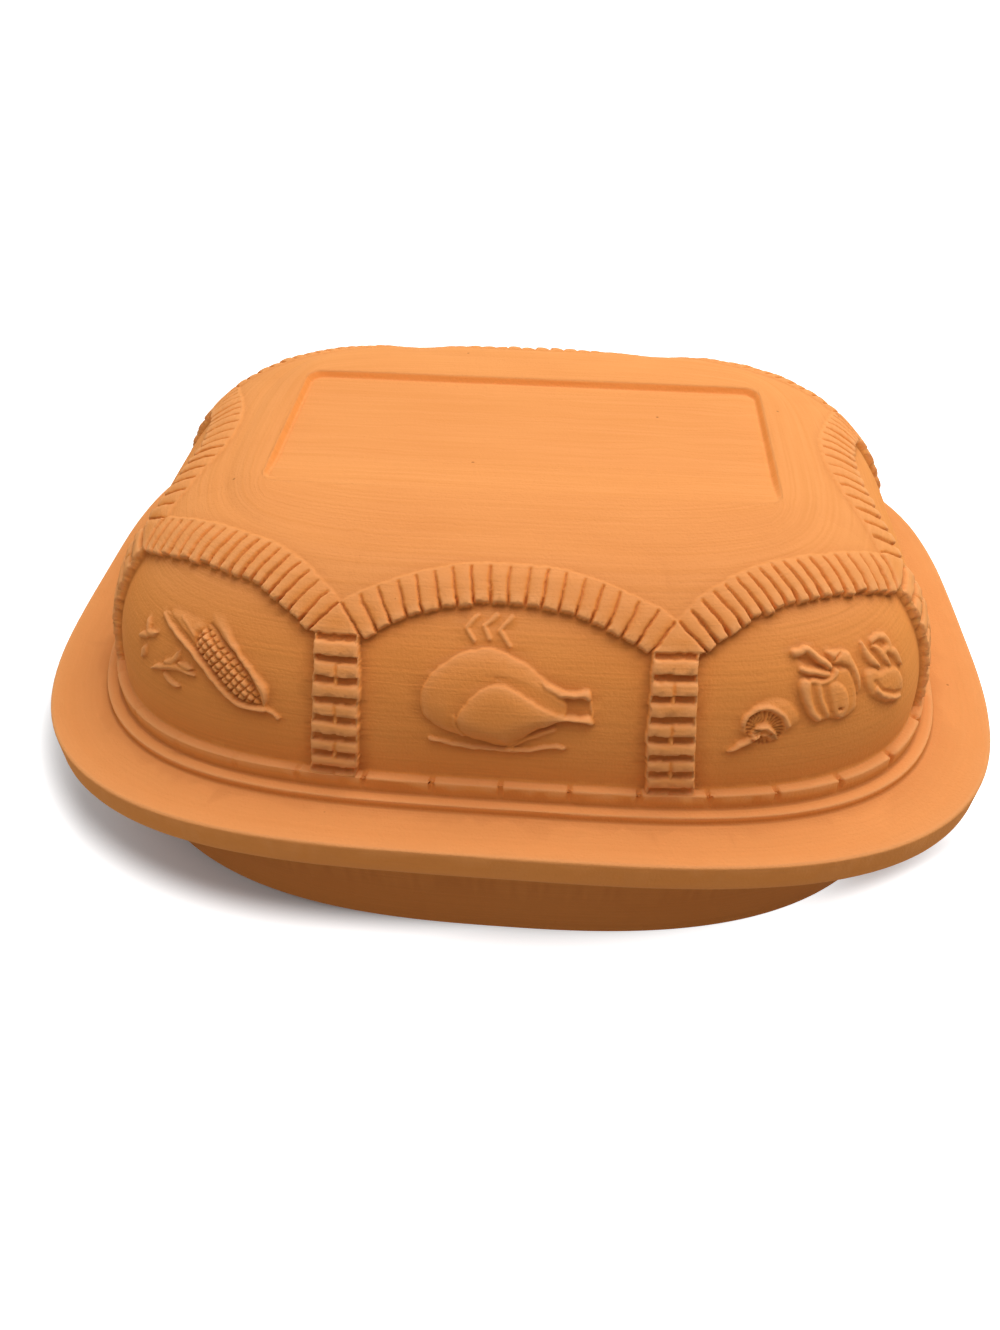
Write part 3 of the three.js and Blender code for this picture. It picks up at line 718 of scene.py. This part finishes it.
def blurred(values, reach):
    """Mean of each value's neighbours, a number of rows and columns each way."""
    columns = sum(np.roll(values, shift, axis=1) for shift in range(-reach, reach + 1)) / (2 * reach + 1)
    padded = np.pad(columns, ((reach, reach), (0, 0)), mode="edge")
    rows = len(values)
    return sum(padded[shift:shift + rows] for shift in range(2 * reach + 1)) / (2 * reach + 1)


def added(name, data):
    """New object in the scene."""
    made = bpy.data.objects.new(name, data)
    bpy.context.scene.collection.objects.link(made)
    return made


# Rings of points, from which both castings are skinned

def ring(points, heights, sweep=0.0, edge_tint_and_shade=0.0, thin=1):
    """One ring: its points, how far up the profile it lies, and its points' tint: paler on raised edges,
    painted shade in hollows.
    """
    count = len(points)
    columns = [points[:, 0], points[:, 1]]
    columns += [np.broadcast_to(np.asarray(value, float), count) for value in (heights, sweep, edge_tint_and_shade)]
    return np.stack(columns, 1)[::thin]


def joined(first, second, starts):
    """Triangles between two rings, of which one may have a whole number of times the other's points."""
    n, m = len(first), len(second)
    fine, coarse = max(n, m), min(n, m)
    times = fine // coarse
    i = np.arange(fine)
    j = np.arange(coarse)
    after_i = (i + 1) % fine
    after_j = (j + 1) % coarse
    near = (i + times // 2) // times % coarse
    middle = (j * times + times // 2) % fine
    if n == m:
        quads = [(i, i + n, after_i), (after_i, i + n, after_i + n)]
    elif n > m:
        quads = [(i, near + n, after_i), (middle, j + n, after_j + n)]
    else:
        quads = [(near, i + n, after_i + n), (j, middle + n, after_j)]
    return starts + np.concatenate([np.stack(quad, 1) for quad in quads])


def casting(name, rings, triangles, clay):
    """Closed mesh through rings of points, thinned out to a number of triangles."""
    starts = np.cumsum([0] + [len(r) for r in rings])
    faces = [joined(a, b, start) for a, b, start in zip(rings, rings[1:], starts)]
    rows = np.concatenate(rings + [rings[0].mean(0, keepdims=True), rings[-1].mean(0, keepdims=True)])
    end = starts[-1]
    for hub, first, last in ((end, 0, starts[1]), (end + 1, starts[-2], end)):
        edge = np.arange(first, last)
        after = np.roll(edge, -1)
        pair = (edge, after) if first == 0 else (after, edge)
        faces.append(np.stack([np.full(len(edge), hub), *pair], 1))
    faces = np.concatenate(faces)
    mesh = bpy.data.meshes.new(name)
    mesh.from_pydata((rows[:, :3] * MM).tolist(), [], faces.tolist())
    for column, attribute in ((3, "sweep"), (4, "edge_tint_and_shade")):
        layer = mesh.attributes.new(attribute, "FLOAT", "POINT")
        layer.data.foreach_set("value", rows[:, column].astype(np.float32))
    piece = added(name, mesh)
    thinner = piece.modifiers.new("thinner", "DECIMATE")
    thinner.ratio = min(1, triangles / len(faces))
    graph = bpy.context.evaluated_depsgraph_get()
    piece.data = bpy.data.meshes.new_from_object(piece.evaluated_get(graph))
    piece.modifiers.clear()
    bpy.data.meshes.remove(mesh)
    piece.data.name = name
    piece.data.shade_smooth()
    piece.data.materials.clear()
    piece.data.materials.append(clay)
    return piece


def profile_facing(profile):
    """Outward and upward parts of a profile's normal, and how sharply it bulges."""
    run = np.gradient(profile, axis=0)
    run /= np.linalg.norm(run, axis=1, keepdims=True)
    turn = np.gradient(run, axis=0)
    bulge = run[:, 1] * turn[:, 0] - run[:, 0] * turn[:, 1]
    step = np.linalg.norm(np.gradient(profile, axis=0), axis=1)
    return run[:, 1], run[:, 0], bulge / step


# Lid

def wall_at(ups):
    """Plan and height of the wall at lengths up it, and the outward and upward parts of its normal."""
    inset = np.interp(ups, wall_up, wall_inset)
    height = np.interp(ups, wall_up, wall_height)
    outward, upward, _ = profile_facing(np.stack([inset, height], 1))
    return plan_at(inset), height, outward, upward


def panel_ring(inset):
    """Ring that keeps a distance inside the top panel's edge."""
    corner = max(PANEL_CORNER - inset, 2)
    core = np.array((PANEL_LENGTH / 2 - inset - corner, PANEL_WIDTH / 2 - inset - corner))
    return np.clip(shoulder_edge, -core, core) + corner * facing


def inside_panel(points):
    """How far points lie inside the panel's edge."""
    u, v = (np.abs(points[:, :2]) - (PANEL_LENGTH / 2, PANEL_WIDTH / 2) + PANEL_CORNER).T
    return PANEL_CORNER - np.hypot(np.maximum(u, 0), np.maximum(v, 0)) - np.minimum(np.maximum(u, v), 0)


def panel_depth(points):
    """How deep the panel lies under its edge: a step at the sides and back, a long ramp in front."""
    inside = inside_panel(points)
    front = points[:, 1] + PANEL_WIDTH / 2
    groove = PANEL_GROOVE * (1 - ease(np.abs(inside - GROOVE_INSET) / GROOVE_HALF))
    groove = groove * ease((front - GROOVE_FRONT) / GROOVE_FADE)
    return PANEL_DEPTH * ease(inside / PANEL_STEP) * ease(front / PANEL_FRONT_STEP) + groove


def uneven(sweep):
    """Slow hand-finished waviness over the lid, from -0.4 to 0."""
    return sum(
        depth * (clay_lumps(along / ARCADE * number, sweep / size, number, seed) - 1)
        for (depth, number, size), seed in ((BROAD_WAVE, 31), (SMALL_WAVE, 32))
    )


def panel_waves(points):
    """Waviness of the panel's floor, from -0.3 to 0, and even along its edge."""
    x, y = (points[:, :2] / PANEL_LUMP + 40).T
    lumps = clay_lumps(x, y, LUMP_ROWS, 33)
    return PANEL_EDGE_WAVE * (1 - lumps * ease(inside_panel(points) / PANEL_WAVE_FADE))


def lid_rings():
    """Rings from the middle of the top over the outside, round the lip and up to the ceiling's middle."""
    ups = np.linspace(0, WALL, WALL_ROWS)
    plan, height, outward, upward = wall_at(ups)
    steps = np.linalg.norm(plan - np.roll(plan, 1, axis=1), axis=2)

    crown_share = np.concatenate([np.linspace(0, 0.5, 22)[1:], np.linspace(0.5, 1, 14)[1:]])
    panel_edge = panel_ring(0)
    crown_gap = np.linalg.norm(panel_edge - shoulder_edge, axis=1)
    crown_up = WALL + crown_share[:, None] * crown_gap
    up = np.concatenate([np.repeat(ups[:, None], LINES, 1), crown_up])
    steps = np.concatenate([steps, np.repeat(steps[-1:], len(crown_share), 0)])
    relief = arcade_height(up, steps)
    # Paler on raised relief, painted shade in its hollows and joints
    edge_tint_and_shade = np.clip((relief - blurred(relief, TINT_AND_SHADE_REACH)) / TINT_AND_SHADE_HEIGHT, -1, 1)
    wall_rows = len(ups)
    waves = uneven(up)
    waves[wall_rows:] += (PANEL_EDGE_WAVE - waves[wall_rows:]) * ease(2 * crown_share - 1)[:, None]
    relief = relief + waves

    middle_up = WALL + HALF_WIDTH - SHOULDER_SIDE_INSET  # up the front and on to the middle of the top

    def panel_floor(points, thin):
        top = LID_RISE - panel_depth(points) + panel_waves(points)
        return ring(points, top, middle_up + points[:, 1], 0, thin)

    inner = panel_ring(PANEL_BORDER)
    rings = [panel_floor(inner * share, thin) for share, thin in (
        (0.05, 32), (0.12, 16), (0.2, 16), (0.28, 8), (0.36, 8), (0.44, 4), (0.52, 4), (0.6, 4),
        (0.68, 2), (0.76, 2), (0.82, 2), (0.88, 2), (0.92, 1), (0.96, 1),
    )]
    rings += [panel_floor(panel_ring(border), 1) for border in np.linspace(PANEL_BORDER, 0.45, 10)]
    for row in range(len(crown_share) - 1, -1, -1):
        share = crown_share[row]
        points = shoulder_edge + (panel_edge - shoulder_edge) * share
        top = LID_RISE - CROWN_FALL * (1 - CROWN_START * share + (CROWN_START - 1) * share ** 2)
        lift = relief[wall_rows + row]
        rings.append(ring(points, top - panel_depth(points) + lift, crown_up[row], edge_tint_and_shade[wall_rows + row]))
    for row in range(wall_rows - 1, -1, -1):
        points = plan[row] + facing * (relief[row] * outward[row])[:, None]
        rings.append(ring(points, height[row] + relief[row] * upward[row], ups[row], edge_tint_and_shade[row]))

    rings += plinth_rings(points)
    rings += lid_inside_rings()
    for r in rings:
        r[:, 2] += FLANGE_TOP
    return rings


def plinth_rings(wall_foot):
    """Rings from the wall's foot down over the band of long bricks and the flange to its underside."""
    ledge = WALL_INSET - BAND_INSET
    profile = rounded_profile([
        (FLANGE_UNDERSIDE + FLANGE_EDGE_SLOPE, -FLANGE_THICKNESS, 0),
        (FLANGE_UNDERSIDE, -FLANGE_EDGE, FLANGE_EDGE_ROUND),
        (0, -FLANGE_EDGE, FLANGE_LOWER_ROUND),
        (0, 0, FLANGE_UPPER_ROUND),
        (PLINTH_INSET - PLINTH_HOLLOW, 0, PLINTH_HOLLOW_ROUND),
        (PLINTH_INSET, PLINTH_HOLLOW_RISE, PLINTH_FOOT_ROUND),
        (PLINTH_INSET, PLINTH_HEIGHT, STEP_ROUND),
        (BAND_INSET, PLINTH_HEIGHT, STEP_ROUND),
        (BAND_INSET, WALL_FOOT, STEP_ROUND),
        (WALL_INSET, WALL_FOOT, 0),
    ], PROFILE_STEP)
    outward, upward, bulge = profile_facing(profile)
    sweep = lengths_along(profile)
    sweep -= sweep[-1]
    plan = plan_at(profile[:, 0])
    reach_in = wall_foot - plan_at([WALL_INSET])[0]
    band_line = plan_at([BAND_INSET])[0]
    band_along = lengths_along(np.concatenate([band_line, band_line[:1]]))
    bricks = 4 * round(band_along[-1] / 4 / BAND_BRICK)
    brick_length = band_along[-1] / bricks
    first_joint = np.interp(2 * math.pi, np.unwrap(line_turn), band_along[:-1])
    from_joint = np.abs(((band_along[:-1] - first_joint) / brick_length + 0.5) % 1 - 0.5) * brick_length
    kept = WORN_JOINT + (1 - WORN_JOINT) * ease((band_line[:, 0] - WORN_LEFT) / WORN_FADE)
    rings = []
    for row in range(len(profile) - 2, -1, -1):
        inset, z = profile[row]
        on_ledge = max(0, (inset - BAND_INSET) / ledge) if z > PLINTH_HEIGHT + STEP_ROUND else 0
        deep = max(0, (z - PLINTH_HEIGHT) / BAND_HEIGHT) * (1 - on_ledge ** 2)
        cut = BAND_JOINT_DEPTH * kept * deep * (1 - bead(from_joint - BAND_JOINT / 2, STEP_ROUND))
        lift = uneven(np.full(LINES, sweep[row])) - cut
        points = plan[row] + reach_in * on_ledge + facing * (lift * outward[row])[:, None]
        # Paler on outward bends, painted shade in inward bends and in the band's joints
        edge_tint_and_shade = np.clip(BEND_TINT_AND_SHADE * bulge[row], -1, 1) - JOINT_SHADE * cut
        thin = 1 if z > -1 else 2
        rings.append(ring(points, z + lift * upward[row], sweep[row], edge_tint_and_shade, thin))
    return rings


def dish_ring(angle, inset):
    """Ring that keeps a distance inside the dish's rim."""
    point, normal = outline(angle, DISH_HALF_LENGTH, DISH_HALF_WIDTH, DISH_SQUARENESS)
    return point - normal * inset


MOUTH_INSET = DISH_WALL / math.cos(DISH_LEAN)


def lid_inside_rings():
    """Rings from the flange's underside round the lip and up the inside of the lid to its ceiling."""
    thin = 4
    low = -FLANGE_THICKNESS
    lip = MOUTH_INSET + LIP_CLEARANCE
    tip = low - LIP_DEPTH
    profile = rounded_profile([
        (lip - 3, low, 0),
        (lip, low, LIP_ROUND),
        (lip, tip, LIP_ROUND),
        (lip + LIP_THICKNESS, tip, LIP_ROUND),
        (lip + LIP_THICKNESS, low, 0),
    ], 0.8)
    rings = [ring(dish_ring(line_turn, inset), z, z, 0, thin) for inset, z in profile]
    ups = np.linspace(0, WALL, 40)
    plan, height, outward, upward = wall_at(ups)
    for row in range(len(ups)):
        points = plan[row] - facing * (LID_WALL * outward[row])
        rings.append(ring(points, height[row] - LID_WALL * upward[row], ups[row], 0, thin))
    edge = rings[-1]
    ceiling = LID_RISE - PANEL_DEPTH - LID_WALL
    for share, thinner in ((0.9, 1), (0.8, 1), (0.65, 2), (0.5, 2), (0.35, 4), (0.2, 8), (0.08, 8)):
        closer = edge[::thinner].copy()
        closer[:, :2] *= share
        closer[:, 2] += (ceiling - closer[:, 2]) * ease((1 - share) / 0.35)
        closer[:, 3] += (1 - share) * CEILING_RUN
        rings.append(closer)
    return rings


# Dish

def dish_rings():
    """Rings from the middle of the dish's floor over the rim and down to the middle of its foot."""
    distance = lengths_along(dish_ring(fine_turn, 0))
    angle = np.interp(distance[-1] * np.arange(DISH_LINES) / DISH_LINES, distance, fine_turn)
    floor_inset = MOUTH_INSET + (DISH_HEIGHT - DISH_FLOOR) * math.tan(DISH_LEAN)
    foot_inset = DISH_HEIGHT * math.tan(DISH_LEAN)
    flat_inset = floor_inset + FLOOR_ROUND
    profile = rounded_profile([
        (flat_inset, DISH_FLOOR, 0),
        (floor_inset, DISH_FLOOR, FLOOR_ROUND),
        (MOUTH_INSET, DISH_HEIGHT, RIM_ROUND),
        (0, DISH_HEIGHT, RIM_ROUND),
        (foot_inset, 0, FOOT_ROUND),
        (foot_inset + FOOT_ROUND + 4, 0, 0),
    ], 2 * PROFILE_STEP)
    rings = []
    edge = dish_ring(angle, flat_inset)
    for share in np.linspace(0.04, 0.99, 84):
        thin = 1
        for below in (0.5, 0.25, 0.13, 0.07):
            thin *= 2 if share < below else 1
        points = edge * share
        height = DISH_FLOOR + rib_height(points, flat_inset)
        rings.append(ring(points, height, -FLOOR_RUN * (1 - share), 0, thin))
    sweep = lengths_along(profile)
    bulge = profile_facing(profile)[2]
    for (inset, z), along_profile, bend in zip(profile, sweep, bulge):
        below_rim = DISH_HEIGHT - z
        outside = inset - below_rim * math.tan(DISH_LEAN) < MOUTH_INSET / 2
        # Painted shade: the dish's outside under the flange is darker, less near its rim
        under_flange_shade = ease(below_rim / UNDER_FLANGE_SHADE_FADE) if outside else 0
        edge_tint_and_shade = np.clip(-BEND_TINT_AND_SHADE * bend - under_flange_shade, -1, 1)
        rings.append(ring(dish_ring(angle, inset), z, along_profile, edge_tint_and_shade))
    foot = rings[-1]
    for share, thin in ((0.9, 2), (0.6, 4), (0.3, 8), (0.1, 16)):
        closer = foot[::thin].copy()
        closer[:, :2] *= share
        rings.append(closer)
    return rings


def rib_height(points, flat_inset):
    """Height of the low ribs with round ends on the dish's floor."""
    reach = DISH_HALF_LENGTH - flat_inset - RIB_END_GAP - RIB_WIDTH / 2
    past_end = np.maximum(np.abs(points[:, 0]) - reach, 0)
    rib_lines = (np.arange(RIB_COUNT) - (RIB_COUNT - 1) / 2) * RIB_PITCH
    from_rib = np.min(np.abs(points[:, 1:2] - rib_lines), axis=1)
    return RIB_HEIGHT * bead(RIB_WIDTH / 2 - np.hypot(past_end, from_rib), 3)


# Material

def linear(hex_code):
    """Linear colour of an sRGB hex value."""
    parts = [int(hex_code[i:i + 2], 16) / 255 for i in (1, 3, 5)]
    return [c / 12.92 if c <= 0.04045 else ((c + 0.055) / 1.055) ** 2.4 for c in parts] + [1]


def node(tree, kind, inputs=None, **settings):
    """Adds one node; its inputs are sockets, nodes by their first output, or plain values."""
    made = tree.nodes.new("ShaderNode" + kind)
    for name, value in settings.items():
        setattr(made, name, value)
    for name, value in (inputs or {}).items():
        if isinstance(value, bpy.types.Node):
            value = value.outputs[0]
        if isinstance(value, bpy.types.NodeSocket):
            tree.links.new(value, made.inputs[name])
        else:
            made.inputs[name].default_value = value
    return made


def emptied(owner):
    """Node tree of a material or a world, with nothing in it yet."""
    owner.use_nodes = True
    owner.node_tree.nodes.clear()
    return owner.node_tree


def fired_terracotta():
    """Unglazed terracotta, pressed in a plaster mould, sponged by hand while leather-hard and fired.
    The eye gets a matt, chalky orange with cloudy patches, fine level sponge lines, grit and a few pin
    holes, paler on raised edges, with painted shade deeper in the joints and hollows and on the dish's
    outside under the flange, and painted light on the faces that look up."""
    material = bpy.data.materials.new("fired_terracotta")
    tree = emptied(material)
    place = node(tree, "TexCoord").outputs["Object"]
    sweep = node(tree, "Attribute", attribute_name="sweep").outputs["Fac"]
    edge_tint_and_shade = node(tree, "Attribute", attribute_name="edge_tint_and_shade").outputs["Fac"]

    cloud = node(tree, "TexNoise", {"Vector": place, "Scale": 1 / (45 * MM), "Detail": 3})
    # Sponge lines: about 60 mm long, 1.2 mm apart up the profile
    level = node(tree, "Math", {0: sweep, 1: 1.2}, operation="DIVIDE")
    level = node(tree, "CombineXYZ", {"Z": level})
    long_way = (1 / (60 * MM), 1 / (60 * MM), 0)
    stretched = node(tree, "VectorMath", {0: place, 1: long_way, 2: level}, operation="MULTIPLY_ADD")
    lines = node(tree, "TexNoise", {"Vector": stretched, "Scale": 1, "Detail": 2})
    # Grit is 0.3 mm across; it is drawn at 1.1 mm so that it shows
    grit = node(tree, "TexNoise", {"Vector": place, "Scale": 1 / (1.1 * MM), "Detail": 2})
    # Pin holes 1 mm wide, one in each 25 mm or so
    hole = node(tree, "TexVoronoi", {"Vector": place, "Scale": 1 / (25 * MM)})
    hole = node(tree, "MapRange", {
        "Value": hole, "From Min": 0.01, "From Max": 0.03, "To Min": 0.7, "To Max": 0,
    })

    # Painted light: faces that look up are paler than the walls, standing in for the lamps' light from
    # above
    facing_up = node(tree, "NewGeometry").outputs["Normal"]
    facing_up = node(tree, "SeparateXYZ", {0: facing_up}).outputs["Z"]
    painted_top_light = node(tree, "MapRange", {
        "Value": facing_up, "From Min": 0.5, "From Max": 0.95, "To Max": 0.3,
    }, interpolation_type="SMOOTHSTEP")
    # The flange, more than 20 mm below the wall's foot, was smoothed and shows fewer sponge lines
    kept = node(tree, "MapRange", {
        "Value": sweep, "From Min": -20, "From Max": 0, "To Min": 0.1, "To Max": 0.3,
    })
    streak = node(tree, "MapRange", {"Value": lines, "From Min": 0.3, "From Max": 0.7, "To Max": kept})
    # Painted shade deepens the colour in hollows, joints and on the dish's outside; raised edges are
    # paler
    painted_shade, pale_edges = (
        node(tree, "MapRange", {"Value": edge_tint_and_shade, "From Max": whole, "To Max": most})
        for whole, most in ((-1, 0.45), (1, 0.4))
    )
    body = linear("#EE9547")
    for share, tone in (
        (cloud, "#F6A253"),
        (painted_top_light, "#DCA676"),
        (streak, "#DA8A40"),
        (painted_shade, "#B05A22"),
        (pale_edges, "#F6B87C"),
        (hole, "#9A5526"),
    ):
        body = node(tree, "Mix", {
            "Factor": share, "A": body, "B": linear(tone),
        }, data_type="RGBA").outputs["Result"]

    rough = node(tree, "Math", {0: grit, 1: lines}, operation="ADD")
    rough = node(tree, "Math", {0: rough, 1: hole}, operation="SUBTRACT")
    bump = node(tree, "Bump", {"Height": rough, "Strength": 1, "Distance": 0.2 * MM})
    clay = node(tree, "BsdfPrincipled", {
        "Base Color": body, "Roughness": 0.9, "IOR": 1.5, "Specular IOR Level": 0.12,
        "Diffuse Roughness": 0.5, "Normal": bump,
    })
    node(tree, "OutputMaterial", {"Surface": clay})
    return material


# Castings

clay = fired_terracotta()
for piece_name, rings, triangles, node_name in (
    ("clay_lid", lid_rings(), LID_TRIANGLES, "lid"),
    ("clay_dish", dish_rings(), DISH_TRIANGLES, "base"),
):
    piece = casting(piece_name, rings, triangles, clay)
    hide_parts(node_name)
    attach(piece, node_name)


# Studio

def seen_ray(tree):
    """1 on rays that show the studio itself: to the camera, in a mirror or through glass."""
    light_path = node(tree, "LightPath").outputs
    seen = light_path["Is Camera Ray"]
    for kind in ("Is Glossy Ray", "Is Transmission Ray"):
        seen = node(tree, "Math", {0: seen, 1: light_path[kind]}, operation="ADD", use_clamp=True)
    return seen


def white_paper():
    """Matt background paper that reads as white to the camera and keeps the roaster's shadow."""
    material = bpy.data.materials.new("white_paper")
    tree = emptied(material)
    place = node(tree, "TexCoord").outputs["Object"]
    seen = seen_ray(tree)
    shade = node(tree, "Mix", {
        "Factor": seen, "A": linear("#BCBCBC"), "B": linear("#E8E8E8"),
    }, data_type="RGBA").outputs["Result"]
    # Painted shadow over the rendered one: the paper glows less round the dish's foot, in front on the
    # side away from the key light, and under the flange at the right: oval spots, with where in them the
    # glow begins to grow and is whole.
    back = node(tree, "SeparateXYZ", {0: place}).outputs["Y"]
    least_in_front = node(tree, "MapRange", {
        "Value": back, "From Min": -0.02, "From Max": 0.08, "To Min": 0.05,
    }, interpolation_type="SMOOTHSTEP")
    glow = seen
    for location, turn, half_axes, start, end, least in (
        ((0, 0, 0), 0, (0.2, 0.148, 1), 0.72, 0.97, 0.05),
        ((-0.045, 0.045, 0), math.radians(20), (0.205, 0.16, 1), 0.98, 1.1, least_in_front),
        ((0.182, -0.074, 0), math.radians(28), (0.045, 0.008, 1), 0.2, 1.6, 0.25),
    ):
        spot = node(tree, "Mapping", {
            "Vector": place, "Location": location, "Rotation": (0, 0, turn), "Scale": half_axes,
        }, vector_type="TEXTURE")
        away = node(tree, "VectorMath", {0: spot}, operation="LENGTH").outputs["Value"]
        share = node(tree, "MapRange", {
            "Value": away, "From Min": start, "From Max": end, "To Min": least,
        }, interpolation_type="SMOOTHSTEP")
        glow = node(tree, "Math", {0: glow, 1: share}, operation="MULTIPLY")
    paper = node(tree, "BsdfPrincipled", {
        "Base Color": shade, "Roughness": 0.9, "Specular IOR Level": 0,
        "Emission Color": (1, 1, 1, 1), "Emission Strength": glow,
    })
    node(tree, "OutputMaterial", {"Surface": paper})
    return material


FLOOR_HALF = 6  # metres
floor_mesh = bpy.data.meshes.new("paper_floor")
floor_corners = [(x * FLOOR_HALF, y * FLOOR_HALF, 0) for x, y in ((-1, -1), (1, -1), (1, 1), (-1, 1))]
floor_mesh.from_pydata(floor_corners, [], [(0, 1, 2, 3)])
floor_mesh.materials.append(white_paper())
floor = added("paper_floor", floor_mesh)
floor.location.z = -0.1 * MM

AMBIENT = 0.2
world = bpy.data.worlds.new("studio")
sky = emptied(world)
white = node(sky, "MapRange", {"Value": seen_ray(sky), "To Min": AMBIENT})
backdrop = node(sky, "Background", {"Color": (1, 1, 1, 1), "Strength": white})
node(sky, "OutputWorld", {"Surface": backdrop})
bpy.context.scene.world = world

# The key light stands behind, to the right; a weak fill stands in front, to the left.
for lamp_name, lamp_size, energy, place in (
    ("key_soft_box", 0.8, 8.6, (0.28, 0.1, 1.0)),
    ("fill_soft_box", 0.8, 3.2, (-0.25, -0.4, 1.15)),
):
    lamp_data = bpy.data.lights.new(lamp_name, "AREA")
    lamp_data.size = lamp_size
    lamp_data.energy = energy
    lamp = added(lamp_name, lamp_data)
    lamp.location = place
    lamp.rotation_euler = (Vector((0, 0, 0.1)) - lamp.location).to_track_quat("-Z", "Y").to_euler()

# Camera: a hand-held close view, 43 degrees down, from a little right of the middle
camera_data = bpy.data.cameras.new("camera")
camera_data.sensor_width = 36
camera_data.lens = 36 * 1000 / 1330  # the picture's focal length is as long as the picture is wide
camera = added("camera", camera_data)
heading = Matrix.Rotation(math.radians(4.32), 4, "Z")
tilt = Matrix.Rotation(math.radians(90 - 43.22), 4, "X")
roll = Matrix.Rotation(math.radians(0.31), 4, "Z")
camera.matrix_world = Matrix.Translation((0.0176, -0.3611, 0.3772)) @ heading @ tilt @ roll
bpy.context.scene.camera = camera

bpy.context.scene.view_settings.view_transform = "Standard"
